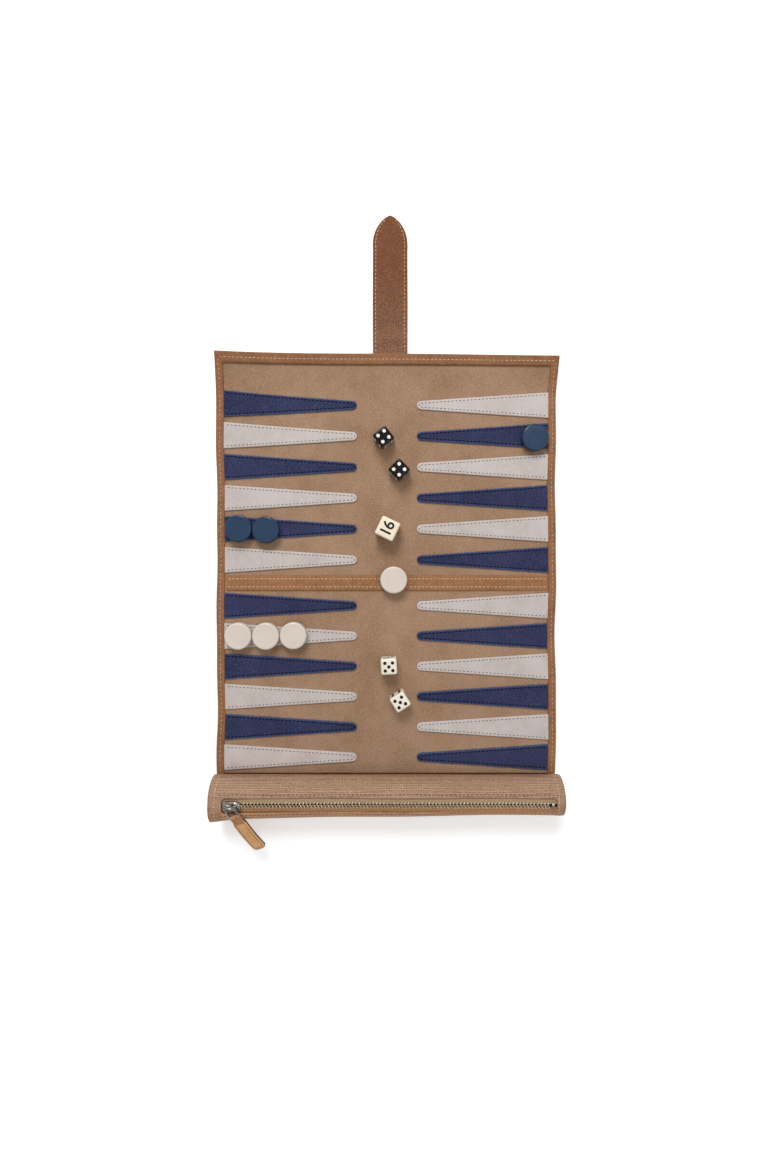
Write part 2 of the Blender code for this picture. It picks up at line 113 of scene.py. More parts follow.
def mesh_object(name, verts, faces, look, smooth=True, sharp=40):
    mesh = bpy.data.meshes.new(name)
    mesh.from_pydata([tuple(v) for v in verts], [], [tuple(f) for f in faces])
    mesh.validate()
    mesh.update()
    if smooth:
        mesh.shade_smooth()
        mesh.set_sharp_from_angle(angle=math.radians(sharp))
    return show(name, mesh, look)


def outward(made):
    """Turns a closed mesh's faces outwards."""
    built = bmesh.new()
    built.from_mesh(made.data)
    bmesh.ops.recalc_face_normals(built, faces=built.faces)
    built.to_mesh(made.data)
    built.free()
    return made


def grid_faces(rows, columns, start=0, wrap=False):
    faces = []
    for i in range(rows - 1):
        for j in range(columns - (0 if wrap else 1)):
            a = start + i * columns + j
            b = start + i * columns + (j + 1) % columns
            faces.append((a, b, b + columns, a + columns))
    return faces


def add_loft(verts, faces, rings):
    """Adds a closed tube to a mesh, through rings of points that run round the same way."""
    start, count = len(verts), len(rings[0])
    for ring in rings:
        verts.extend(ring)
    faces += grid_faces(len(rings), count, start, wrap=True)
    faces.append(tuple(range(start, start + count))[::-1])
    faces.append(tuple(range(len(verts) - count, len(verts))))


def loft(name, rings, look, sharp=40):
    verts, faces = [], []
    add_loft(verts, faces, rings)
    return outward(mesh_object(name, verts, faces, look, sharp=sharp))


def slab(name, xs, ys, low_z, high_z, look):
    """A closed slab of the mat over a grid."""
    verts = [lay(x, y, z) for z in (low_z, high_z) for y in ys for x in xs]
    columns, rows = len(xs), len(ys)
    top = columns * rows
    faces = [f[::-1] for f in grid_faces(rows, columns)] + grid_faces(rows, columns, top)
    for a in range(0, top - columns, columns):
        b = a + columns
        right, next_right = a + columns - 1, b + columns - 1
        faces += [(a, a + top, b + top, b), (right, next_right, next_right + top, right + top)]
    for j in range(columns - 1):
        a = top - columns + j
        faces += [(j, j + 1, j + 1 + top, j + top), (a, a + top, a + 1 + top, a + 1)]
    return outward(mesh_object(name, verts, faces, look))


def circle(count, start=0, span=360, closed=True):
    """(cos, sin) of evenly spaced directions, from start through span degrees."""
    angles = np.radians(np.linspace(start, start + span, count, endpoint=not closed))
    return list(zip(np.cos(angles).tolist(), np.sin(angles).tolist()))


def arc(count, start, span):
    return circle(count, start, span, closed=False)


def mirrored(half):
    """A section from its left half, listed from the bottom to the middle."""
    return half + [(-x, z) for x, z in reversed(half) if x]


def steps(low, high, size):
    return np.linspace(low, high, max(2, int(round((high - low) / size)) + 1))


def fold_steps(low, high, fold):
    """Places along the mat from low to high, close together where it bends."""
    near = [fold + BEND * t for t in (-1.3, -1, -0.75, -0.5, -0.25, 0, 0.25, 0.5, 0.75, 1, 1.3)]
    below = list(steps(low, near[0], 2.6 * MM))[:-1]
    above = list(steps(near[-1], high, 2.6 * MM))[1:]
    return np.array([*below, *near, *above])


def settle(made, body, slot, *nodes):
    """Rides a piece on its body and hides the CAD nodes that it replaces; slot is not used."""
    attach(made, body)
    for node in nodes:
        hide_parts(node)


STITCH_RINGS = ((-0.82, 0.62), (-0.3, 1.0), (0.3, 1.0), (0.82, 0.62))  # (share of half its length, of its thickness)
STITCH_SIDES = 6


def stitch_mesh(name, places, thread, length=2.3 * MM, width=0.55 * MM, height=0.4 * MM):
    """Every stitch of a seam as one piece: (place, direction, normal) each, a short plump thread."""
    verts, faces = [], []
    for place, direction, normal in places:
        place = Vector(place)
        along = Vector(direction).normalized()
        up = Vector(normal).normalized()
        across = up.cross(along).normalized()
        start = len(verts)
        verts.append(place - along * length / 2)
        for t, r in STITCH_RINGS:
            middle = place + along * (t * length / 2)
            verts += [middle + across * (c * width / 2 * r) + up * (s * height / 2 * r)
                      for c, s in circle(STITCH_SIDES)]
        verts.append(place + along * length / 2)
        last = len(verts) - 1
        ring = last - STITCH_SIDES
        faces += grid_faces(len(STITCH_RINGS), STITCH_SIDES, start + 1, wrap=True)
        for k in range(STITCH_SIDES):
            n = (k + 1) % STITCH_SIDES
            faces += [(start, start + 1 + n, start + 1 + k), (ring + k, ring + n, last)]
    return mesh_object(name, verts, faces, LOOK[thread])


def sew(name, places, thread, body, *size):
    """A seam that rides on one body."""
    settle(stitch_mesh(name, places, thread, *size), body, "thread")


def along_path(path, pitch=STITCH_PITCH):
    """Evenly spaced (place, direction) on a polyline."""
    path = [Vector(p) for p in path]
    lengths = [(b - a).length for a, b in zip(path, path[1:])]
    total = sum(lengths)
    count = max(1, int(total / pitch))
    gap = total / count
    found = []
    for i in range(count):
        s = (i + 0.5) * gap
        k = 0
        while k < len(lengths) - 1 and s > lengths[k]:
            s -= lengths[k]
            k += 1
        direction = (path[k + 1] - path[k]).normalized()
        found.append((path[k] + direction * s, direction))
    return found


def on_mat(path, height, pitch=STITCH_PITCH):
    """(place, direction, normal) of each stitch on a path over the mat."""
    return [(lay(p.x, p.y, height), d, UP) for p, d in along_path(path, pitch)]


# Materials

STAGE_LIGHT = 1.1  # how bright a white card lies under the studio's light


def lin(colour):
    """The linear colour that shows as this screen colour, 0 to 255, under the studio's light."""
    shares = [c / 255 for c in colour]
    linear = [c / 12.92 if c <= 0.04045 else ((c + 0.055) / 1.055) ** 2.4 for c in shares]
    return (*[c / STAGE_LIGHT for c in linear], 1.0)


class Nodes:
    """A material being made. A colour of three numbers is a screen colour, one of four is linear."""

    def __init__(self, name, roughness=0.5, metallic=0.0):
        self.made = bpy.data.materials.new(name)
        self.made.use_nodes = True
        self.tree = self.made.node_tree
        self.shader = self.tree.nodes["Principled BSDF"]
        self.rest = self.add("ShaderNodeAttribute")
        self.rest.attribute_name = "rest"
        self.set(self.shader, {"Roughness": roughness, "Metallic": metallic})

    def set(self, node, inputs):
        """Sets a node's sockets to constants, or links them to other nodes' outputs."""
        for socket, value in inputs.items():
            if isinstance(value, (float, int, tuple)):
                node.inputs[socket].default_value = value
            else:
                self.tree.links.new(value, node.inputs[socket])

    def add(self, kind, inputs=()):
        node = self.tree.nodes.new(kind)
        self.set(node, dict(inputs))
        return node

    def place(self, stretch):
        if stretch is None:
            return self.rest.outputs["Vector"]
        mapping = self.add("ShaderNodeMapping", {"Scale": stretch, "Vector": self.rest.outputs["Vector"]})
        return mapping.outputs["Vector"]

    def noise(self, scale, detail=3.0, roughness=0.55, stretch=None):
        inputs = {"Scale": scale, "Detail": detail, "Roughness": roughness, "Vector": self.place(stretch)}
        return self.add("ShaderNodeTexNoise", inputs).outputs["Fac"]

    def cells(self, scale, randomness=1.0, stretch=None):
        """How far it is to the edge of a cell of leather grain."""
        node = self.add("ShaderNodeTexVoronoi")
        node.feature = "DISTANCE_TO_EDGE"
        self.set(node, {"Scale": scale, "Randomness": randomness, "Vector": self.place(stretch)})
        return node.outputs["Distance"]

    def grey(self, factor, low, high, start=0.3, end=0.7):
        inputs = {"From Min": start, "From Max": end, "To Min": low, "To Max": high, "Value": factor}
        return self.add("ShaderNodeMapRange", inputs).outputs["Result"]

    def mix(self, factor, a, b):
        node = self.add("ShaderNodeMix")
        node.data_type = "RGBA"
        a, b = [lin(c) if isinstance(c, tuple) and len(c) == 3 else c for c in (a, b)]
        self.set(node, {"Factor": factor, 6: a, 7: b})
        return node.outputs[2]

    def math(self, operation, a, b):
        node = self.add("ShaderNodeMath", {0: a, 1: b})
        node.operation = operation
        return node.outputs[0]

    def done(self, colour, height, strength, distance, **inputs):
        """The finished material: its colour, its relief, and what else its shader is set to."""
        bump = self.add("ShaderNodeBump", {"Strength": strength, "Distance": distance * MM, "Height": height})
        self.set(self.shader, {"Base Color": colour, "Normal": bump.outputs["Normal"]})
        self.set(self.shader, {socket.replace("_", " "): value for socket, value in inputs.items()})
        return self.made


def suede(name, base, light, dark, fleck, sheen=0.25, edge=None):
    """Napped suede: brushed patches, short fibres and pale flecks; edge is the colour of a raw cut edge."""
    made = Nodes(name, roughness=0.95)
    patches = made.noise(18, 5, 0.66)
    brushed = made.noise(95, 4, 0.65, (1.0, 0.8, 1.0))
    fibres = made.noise(950, 3, 0.75)
    tone = made.mix(made.grey(patches, 0.2, 1, 0.33, 0.62), dark, base)
    tone = made.mix(made.grey(brushed, 0, 0.45, 0.45, 0.75), tone, light)
    tone = made.mix(made.grey(fibres, 0.8, 0, 0.3, 0.49), tone, dark)
    tone = made.mix(made.grey(fibres, 0, 0.85, 0.51, 0.7), tone, fleck)
    if edge is not None:
        cut = made.add("ShaderNodeAttribute")
        cut.attribute_name = "edge"
        ragged = made.math("MULTIPLY", cut.outputs["Fac"], made.grey(fibres, 0.35, 1.0, 0.35, 0.6))
        tone = made.mix(ragged, tone, edge)
    height = made.math("ADD", made.noise(2100, 2, 0.7), made.math("MULTIPLY", brushed, 0.6))
    return made.done(tone, height, 0.55, 0.25, Sheen_Weight=sheen, Sheen_Roughness=0.5,
                     Specular_IOR_Level=0.2)


def leather(name, base, light, dark, grain, depth, roughness=0.55, stretch=None, seams=0.35, randomness=0.85,
            warm=None, patchy=0.8):
    """Grained leather: cells with darker valleys, over broad tone changes.

    warm is (colour, y where it starts, y where it is full): a colour change along y that paints light and shade.
    """
    made = Nodes(name)
    cells = made.cells(grain, randomness, stretch)
    broad = made.noise(28, 4, 0.6)
    mottle = made.noise(240, 3, 0.6)
    tone = made.mix(made.grey(broad, patchy * 0.6, 0, 0.32, 0.6), base, dark)
    tone = made.mix(made.grey(mottle, 0, 0.6, 0.4, 0.7), tone, light)
    # Painted light and shade: the colour shifts towards warm's colour along y.
    if warm is not None:
        colour, none, full = warm
        split = made.add("ShaderNodeSeparateXYZ", {0: made.rest.outputs["Vector"]})
        tone = made.mix(made.grey(split.outputs["Y"], 0, 0.85, none, full), tone, colour)
    tone = made.mix(made.grey(cells, seams, 0, 0.02, 0.2), tone, dark)
    height = made.math("ADD", made.grey(cells, 0, 1, 0.0, 0.22), made.math("MULTIPLY", mottle, 0.35))
    return made.done(tone, height, 0.7, depth, Specular_IOR_Level=0.25,
                     Roughness=made.grey(mottle, roughness - 0.08, roughness + 0.1))


def smooth_leather(name, base, light, dark, roughness=0.5):
    """Fine, nearly plain leather with faint creases and pores."""
    made = Nodes(name)
    broad = made.noise(45, 3, 0.5)
    tone = made.mix(made.grey(broad, 0, 1, 0.35, 0.65), dark, base)
    tone = made.mix(made.grey(made.noise(320, 3, 0.6), 0, 0.5, 0.45, 0.7), tone, light)
    return made.done(tone, made.math("ADD", made.cells(1500), made.noise(500, 3, 0.6)), 0.3, 0.08,
                     Roughness=made.grey(broad, roughness - 0.05, roughness + 0.08))


def thread(name, base, dark):
    made = Nodes(name, roughness=0.75)
    twist = made.noise(1800, 2, 0.5)
    tone = made.mix(made.grey(twist, 0, 1, 0.35, 0.6), dark, base)
    return made.done(tone, twist, 0.5, 0.12, Specular_IOR_Level=0.1)


def plastic(name, base, light, roughness, spec=0.5):
    """Polished resin with a faint cloud in its colour and hairline polishing marks."""
    made = Nodes(name)
    clouds = made.noise(60, 3, 0.5)
    scratches = made.noise(1100, 2, 0.6, (1.0, 0.5, 1.0))
    return made.done(made.mix(made.grey(clouds, 0, 1, 0.35, 0.7), base, light), clouds, 0.05, 0.1,
                     Specular_IOR_Level=spec, Roughness=made.grey(scratches, roughness - 0.03, roughness + 0.04))


def metal(name, base, light, roughness):
    made = Nodes(name, metallic=1.0)
    wear = made.noise(700, 3, 0.6)
    tone = made.mix(made.grey(wear, 0, 1, 0.35, 0.7), base, light)
    return made.done(tone, made.noise(1400, 2, 0.6), 0.15, 0.04,
                     Roughness=made.grey(wear, roughness - 0.06, roughness + 0.12))


def tape_weave(name, base, dark):
    """Woven zip tape: fine ribs across and along."""
    made = Nodes(name, roughness=0.85)
    inputs = {"Scale": 380.0, "Distortion": 0.6, "Vector": made.rest.outputs["Vector"]}
    ribs = made.add("ShaderNodeTexWave", inputs)
    ribs.bands_direction = "X"
    weave = made.math("ADD", ribs.outputs["Fac"], made.noise(1600, 2, 0.5))
    return made.done(made.mix(made.grey(weave, 0, 1, 0.5, 1.3), dark, base), weave, 0.6, 0.15)


LOOK = {
    "suede": suede("suede_lining", (160, 128, 103), (171, 141, 115), (134, 102, 76), (179, 151, 126), 0.08),
    "blue": suede("blue_suede", (49, 53, 84), (60, 65, 98), (32, 35, 64), (74, 80, 114), 0.0, (72, 90, 128)),
    "blue_fibre": thread("blue_fibre", (76, 92, 128), (56, 66, 100)),
    "white": smooth_leather("white_leather", (193, 183, 179), (200, 192, 189), (183, 172, 166), 0.6),
    "binding": leather("binding_leather", (156, 107, 70), (176, 127, 90), (104, 66, 40), 850, 0.16, seams=0.6),
    "bar": leather("bar_leather", (162, 112, 74), (180, 130, 92), (112, 72, 44), 850, 0.16, seams=0.6),
    # The strap's warm colour, darker and deeper orange towards its tip, is painted shade of a tip that faces away
    # from the light.
    "strap": leather("strap_leather", (140, 98, 72), (158, 114, 82), (74, 42, 24), 700, 0.3,
                     stretch=(1.0, 0.8, 1.0), seams=0.75, randomness=0.62, warm=((130, 70, 22), 0.19, 0.262), patchy=0.25),
    # The pouch's warm colour, paler and more orange towards the front, is painted light on the front of the tube,
    # with the tan of its rolled lip.
    "pouch": leather("pouch_leather", (184, 149, 122), (197, 163, 137), (128, 94, 70), 760, 0.24, 0.45,
                     seams=0.95, randomness=0.38, warm=((212, 150, 96), -0.17, -0.182), patchy=0.4),
    "pouch_edge": smooth_leather("pouch_raw_edge", (198, 146, 98), (214, 164, 118), (170, 114, 70)),
    "tab": smooth_leather("tab_leather", (228, 174, 116), (236, 186, 132), (204, 148, 94)),
    # The tongue's dark edge colour is painted shade on its sides.
    "tab_edge": smooth_leather("tab_shaded_edge", (92, 56, 46), (106, 68, 54), (74, 46, 38), 0.4),
    "backing": leather("backing_leather", (150, 104, 70), (168, 122, 86), (112, 72, 46), 700, 0.16),
    "seam_shadow": smooth_leather("seam_shadow", (78, 48, 32), (92, 60, 42), (60, 36, 24), 0.8),
    "pale_thread": thread("pale_thread", (228, 200, 166), (176, 140, 104)),
    # Navy thread, darker than the thread itself: painted shade of the sunk seam.
    "navy_thread_and_shade": thread("navy_thread_and_shade", (10, 12, 32), (4, 5, 16)),
    # Dark stitches of the white points: painted shade of their stitch holes, drawn as thread.
    "stitch_hole_shade": thread("stitch_holes", (96, 80, 72), (66, 52, 46)),
    "pouch_thread": thread("pouch_thread", (112, 76, 52), (80, 50, 34)),
    "tape": tape_weave("zip_tape", (180, 152, 120), (140, 110, 80)),
    # A second copy of the zip tape, warmer and darker: painted shade on the near tape.
    "shaded_tape": tape_weave("zip_tape_shaded", (192, 144, 98), (148, 100, 62)),
    "steel": metal("zip_steel", (0.27, 0.25, 0.23, 1), (0.5, 0.47, 0.44, 1), 0.14),
    "teeth": metal("zip_teeth_brass", (0.58, 0.49, 0.38, 1), (0.86, 0.77, 0.64, 1), 0.34),
    "blue_checker": plastic("blue_checker", (35, 57, 83), (39, 62, 88), 0.14, 0.3),
    "ivory_checker": plastic("ivory_checker", (209, 198, 186), (214, 204, 192), 0.2, 0.3),
    "black_die": plastic("black_die", (13, 11, 11), (20, 17, 17), 0.1, 0.25),
    "ivory_die": plastic("ivory_die", (232, 223, 205), (238, 230, 214), 0.2, 0.35),
    "cube": plastic("cube_ivory", (234, 222, 196), (240, 230, 206), 0.2, 0.35),
    "white_pip": plastic("white_pip", (240, 235, 226), (246, 242, 235), 0.4),
    "black_pip": plastic("black_pip", (16, 13, 12), (26, 21, 20), 0.4, 0.25),
    "void": smooth_leather("pouch_inside", (120, 88, 62), (136, 102, 74), (96, 66, 44)),
}


# How the mat lies: nearly flat, its free end curled up a little and its edges not quite straight

def ramp_up(value, low, high):
    return max(0.0, min(1.0, (value - low) / (high - low)))


def lay(x, y, z):
    """Where a point of the flat mat lies: the free end curls, its left edge from further down."""
    out = abs(x) / MAT_HALF
    end = ramp_up(y, FOLD_Y["mat_row_01"] - 6 * MM, MAT_END_Y) ** 1.6
    curl = ramp_up(y, FOLD_Y["mat_row_05"], MAT_END_Y) ** 1.3
    lift = end * (4.5 + 1.5 * out**2.5) + (curl * 9.5 * out**2.5 if x < 0 else 0.0)
    lift += 0.7 * out**6 * (1 + math.sin(y * 62 + x * 9)) * ramp_up(y, FOLD_Y["pouch"], FOLD_Y["mat_row_12"])
    sway = 0.4 * out**4 * (math.sin(y * 47 + x * 4) + 0.6 * math.sin(y * 101 + 1.3 + x * 9))
    pulled = (-1.1 * out + curl * 1.6 * out**3) if x < 0 else (0.3 * curl + 1.4 * end) * out**3
    back = end * (1.3 * out**2 if x < 0 else 2.4 * out**1.5)
    return (x + (sway + pulled) * MM, y - back * MM, z + lift * MM)


def slice_bounds():
    """(name, upper body, lower body, low y, high y, fold y) of each stretch of mat about one fold."""
    found = []
    upper, high = "mat_top_edge", MAT_END_Y
    for index, (row, below) in enumerate(zip(ROWS, [*ROWS[1:], "pouch"])):
        middle = (FOLD_Y[row] + FOLD_Y[below]) / 2
        found.append((f"{index + 1:02d}", upper, row, middle, high, FOLD_Y[row]))
        upper, high = row, middle
    found.append(("13", upper, "pouch", FOLD_Y["pouch"] - 9 * MM, high, FOLD_Y["pouch"]))
    return found


def bend(made):
    """Bakes a piece's placement into its mesh."""
    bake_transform(made)


def band_profile(inner, outer, rise, dip, fall, under):
    """Cross-section of a folded band: up its inner edge, over it, down its outer edge and in below.

    The tables are in millimetres from the edges and from the top, and the last one from the table.
    """
    top = RELIEF_TOP
    return [(inner, 0.0), (inner, FACE_Z), *[(inner + a * MM, top - z * MM) for a, z in rise],
            ((inner + outer) / 2, top - dip * MM), *[(outer - a * MM, top - z * MM) for a, z in fall],
            *[(outer - a * MM, z * MM) for a, z in under]]


def binding_profile(side):
    profile = band_profile(BINDING_IN, MAT_HALF, ((0.15, 0.35), (0.6, 0.03), (1.6, 0)), 0.12,
                           ((1.7, 0), (0.7, 0.18), (0.15, 0.8)), ((0, 2.2), (0.05, 0.9), (0.5, 0.2), (1.2, 0)))
    return [(side * x, z) for x, z in profile]


def mitre(x):
    """How far from the mat's end the side binding stops at this distance from the middle."""
    return TOP_BINDING * (MAT_HALF - abs(x)) / (MAT_HALF - BINDING_IN) + 0.3 * MM


def mat():
    """Lining, backing and side bindings, each in stretches that meet midway between the folds."""
    across = steps(-BINDING_IN, BINDING_IN, 5 * MM)
    for name, upper, lower, low, high, fold in slice_bounds():
        first, last = upper == "mat_top_edge", lower == "pouch"
        ys = ys_lining = fold_steps(low, high, fold)
        if first:
            ys_lining = np.append(ys[ys < high - TOP_BINDING], high - TOP_BINDING)
        if last:
            ys_lining = ys[ys > FOLD_Y["pouch"] - 1 * MM]
        lining = slab(f"mat_lining_{name}", across, ys_lining, LINING_Z, FACE_Z, LOOK["suede"])
        backing = slab(f"mat_backing_{name}", across, ys, 0, LINING_Z, LOOK["backing"])
        for made, slot, ends in ((lining, "suede_lining", ys_lining), (backing, "binding_leather", ys)):
            bend(made)
        if not last:
            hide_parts(lower)
        if first:
            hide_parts("mat_top_edge")
        for side, label in SIDES:
            rings = []
            for y in ys:
                at_end = first and y == ys[-1]
                if first and not at_end and y >= high - TOP_BINDING - 0.5 * MM:
                    continue
                rings.append([lay(x, y - (mitre(x) if at_end else 0), z) for x, z in binding_profile(side)])
            edge = loft(f"binding_{label}_{name}", rings, LOOK["binding"])
            bend(edge)
            start = FOLD_Y["pouch"] if last else low
            end = high - (TOP_BINDING * 0.6 if first else 0)
            path = [(side * BINDING_MIDDLE, y, 0) for y in steps(start, end, 4 * MM)]
            seam = stitch_mesh(f"binding_stitches_{label}_{name}", on_mat(path, RELIEF_TOP - 0.06 * MM),
                               "pale_thread", 1.7 * MM, 0.5 * MM)
            bend(seam)


def top_binding():
    """The band along the mat's end, mitred into the side bindings, with its seam."""
    low, high = MAT_END_Y - TOP_BINDING, MAT_END_Y
    middle = (low + high) / 2
    profile = band_profile(low, high, ((0.15, 0.35), (0.6, 0), (2.5, 0)), 0.15,
                           ((2.2, 0), (0.8, 0.15), (0.15, 0.8)), ((0, 2.2), (0.05, 0.9), (0.6, 0.1), (1.4, 0)))
    rings = []
    for t in steps(-1, 1, 0.018):
        rings.append([lay(t * (MAT_HALF - (MAT_HALF - BINDING_IN) * (high - y) / TOP_BINDING), y, z)
                      for y, z in profile])
    settle(loft("binding_top", rings, LOOK["binding"]), "mat_top_edge", "binding_leather")
    corner = ((BINDING_IN + 0.2 * MM, low + 0.1 * MM), (BINDING_MIDDLE, middle - 0.15 * MM),
              (MAT_HALF - 0.9 * MM, high - 1.4 * MM))
    for side, label in SIDES:
        path = [lay(side * x, y, FACE_Z + 0.2 * MM) for x, y in corner]
        seam = tube_mesh(f"mitre_seam_{label}", path, 0.75 * MM, LOOK["seam_shadow"], sides=8)
        settle(seam, "mat_top_edge", "binding_leather")
    path = [(x, middle - 0.2 * MM, 0) for x in steps(-BINDING_MIDDLE, BINDING_MIDDLE, 8 * MM)]
    sew("binding_stitches_top", on_mat(path, RELIEF_TOP - 0.1 * MM), "pale_thread", "mat_top_edge",
        2.3 * MM, 0.62 * MM)


# The points

POINT_TIP = 3.5 * MM
POINT_SEAM_IN = 1.9 * MM
FIBRES = 420


def point_half_width(s, length, base):
    """Half the width of a point at s along it: a straight taper into a round tip."""
    centre = length - POINT_TIP
    sine = (base / 2 - POINT_TIP) / centre
    tangent = centre + POINT_TIP * sine
    if s <= tangent:
        end = POINT_TIP * math.sqrt(1 - sine * sine)
        return base / 2 + (end - base / 2) * s / tangent
    return math.sqrt(max(0.0, POINT_TIP**2 - (s - centre) ** 2))


def point(side, row, blue):
    """One triangle of the board with its seam; a blue one also has loose fibres along its cut edge."""
    node = f"point_{side}_{row:02d}"
    body = f"mat_row_{row:02d}"
    low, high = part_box(node)
    length, base, centre_y = high.x - low.x, high.y - low.y, (low.y + high.y) / 2
    sign = -1 if side == "left" else 1
    root = sign * BINDING_IN
    centre = length - POINT_TIP
    top = RELIEF_TOP - 0.05 * MM
    seed = Vector((sign * 3.1, row * 1.7, 0))
    fuzz = 0.3 * MM if blue else 0.06 * MM
    tip = [centre + POINT_TIP * math.sin(math.radians(a)) for a in (15, 30, 45, 58, 70, 80, 87)]
    rings, cut = [], []
    for s in [*steps(0, centre, 1.3 * MM), *tip]:
        half = point_half_width(s, length, base)
        left = half + fuzz * noise.noise(seed + Vector((s * 620, 0, 0)))
        right = half + fuzz * noise.noise(seed + Vector((s * 620, 9, 0)))
        soft = min(0.45 * MM, half * 0.3)
        nap = min(1.3 * MM, half * 0.6)
        pad = 0.08 * MM * noise.noise(seed + Vector((s * 60, 4, 0)))
        # Each place of the section is (across, height, how much of a cut edge it is).
        across = [0, 0, soft * 0.3, soft, nap]
        heights = [FACE_Z - 0.2 * MM, top - 0.4 * MM, top - 0.12 * MM, top, top + pad]
        edges = [1, 1, 1, 0.8, 0]
        section = [(a - left, z, edge) for a, z, edge in zip(across, heights, edges)]
        section += [(right - a, z, edge) for a, z, edge in zip(across, heights, edges)][::-1]
        rings.append([lay(root - sign * s, centre_y + y, z) for y, z, _ in section])
        cut += [edge for _, _, edge in section]
    made = loft(node.replace("point", "point_leather"), rings, LOOK["blue" if blue else "white"])
    made.data.attributes.new("edge", "FLOAT", "POINT").data.foreach_set("value", cut)
    settle(made, body, "blue_suede" if blue else "white_leather", node)

    shoulder = steps(1.5 * MM, centre, 5 * MM)
    outline = [(s, POINT_SEAM_IN - point_half_width(s, length, base)) for s in shoulder]
    turn = POINT_TIP - POINT_SEAM_IN
    outline += [(centre + c * turn, s * turn) for c, s in arc(9, -80, 160)]
    outline += [(s, point_half_width(s, length, base) - POINT_SEAM_IN) for s in shoulder[::-1]]
    path = [(root - sign * s, centre_y + y, 0) for s, y in outline]
    places = on_mat(path, top + 0.02 * MM, 3.1 * MM)
    stitches = node.replace("point", "point_stitches")
    if blue:
        # Navy stitches, darkened as painted shade of the sunk seam.
        sew(stitches, places, "navy_thread_and_shade", body, 2.3 * MM, 0.95 * MM, 0.5 * MM)
        fibres = cut_fibres(node.replace("point", "point_nap"), root, sign, centre_y, length, base, row)
        settle(fibres, body, "blue_suede")
    else:
        # Dark stitches: painted shade of the stitch holes.
        sew(stitches, places, "stitch_hole_shade", body, 1.5 * MM, 0.72 * MM, 0.3 * MM)


def cut_fibres(name, root, sign, centre_y, length, base, row):
    """Loose suede fibres along the cut edge of a point, each a thin spike lying outwards."""
    chance = random.Random(row * 7 + (sign > 0))
    verts, faces = [], []
    for _ in range(FIBRES):
        s = chance.uniform(1 * MM, length - 0.2 * MM)
        side = chance.choice((-1, 1))
        half = point_half_width(s, length, base)
        lean = chance.uniform(-0.9, 0.9) + (0.8 if s > length - POINT_TIP else 0.0)
        reach = chance.uniform(0.35, 1.0) * MM
        height = RELIEF_TOP - chance.uniform(0.15, 0.7) * MM
        start = Vector((root - sign * s, centre_y + side * (half - 0.15 * MM), height))
        away = Vector((-sign * lean, side, chance.uniform(-0.3, 0.2))).normalized()
        across = away.cross(UP).normalized() * 0.07 * MM
        first = len(verts)
        corners = (start - across, start + across, start + UP * (0.1 * MM), start + away * reach)
        verts += [lay(*corner) for corner in corners]
        faces += [(first + a, first + b, first + c) for a, b, c in ((0, 1, 3), (1, 2, 3), (2, 0, 3), (0, 2, 1))]
    return mesh_object(name, verts, faces, LOOK["blue_fibre"], smooth=False)


def points():
    """Two points to a row, one of each colour, changing sides from row to row."""
    for row in range(1, 13):
        for side in ("left", "right"):
            point(side, row, (side == "left") == (row % 2 == 1))


BAR_SEAM = 3.3 * MM  # from the bar's middle line


def bar_strip():
    half = (BAR_HIGH.y - BAR_LOW.y) / 2 + 0.25 * MM
    top = RELIEF_TOP - 0.05 * MM
    section = mirrored([(-half, FACE_Z - 0.2 * MM), (-half, top - 0.4 * MM), (-half + 0.2 * MM, top - 0.12 * MM),
                        (-half + 0.7 * MM, top), (-BAR_SEAM, top - 0.1 * MM), (0, top + 0.06 * MM)])
    rings = [[(x, y, z) for y, z in section] for x in steps(-BINDING_IN, BINDING_IN, 4 * MM)]
    settle(loft("bar_strip_leather", rings, LOOK["bar"]), "mat_row_06", "bar_leather", "centre_bar_strip")
    places = []
    for y in (-BAR_SEAM, BAR_SEAM):
        path = [(-BINDING_IN + 1 * MM, y, 0), (BINDING_IN - 1 * MM, y, 0)]
        places += [((p.x, p.y, top - 0.02 * MM), d, UP) for p, d in along_path(path)]
    sew("bar_stitches", places, "pale_thread", "mat_row_06", 2.4 * MM, 0.62 * MM)


# The closing strap

STRAP_PARTS = ("root", "middle", "tip")
STRAP_TIP_STEPS = (0.08, 0.16, 0.24, 0.32, 0.4, 0.48, 0.56, 0.64, 0.71, 0.78, 0.84, 0.89, 0.93, 0.96, 0.98,
                   0.992, 1.0)
STRAP_SEAM_IN = 2.4 * MM
STRAP_FALL = 32 * MM  # how far beyond the mat the strap reaches the table


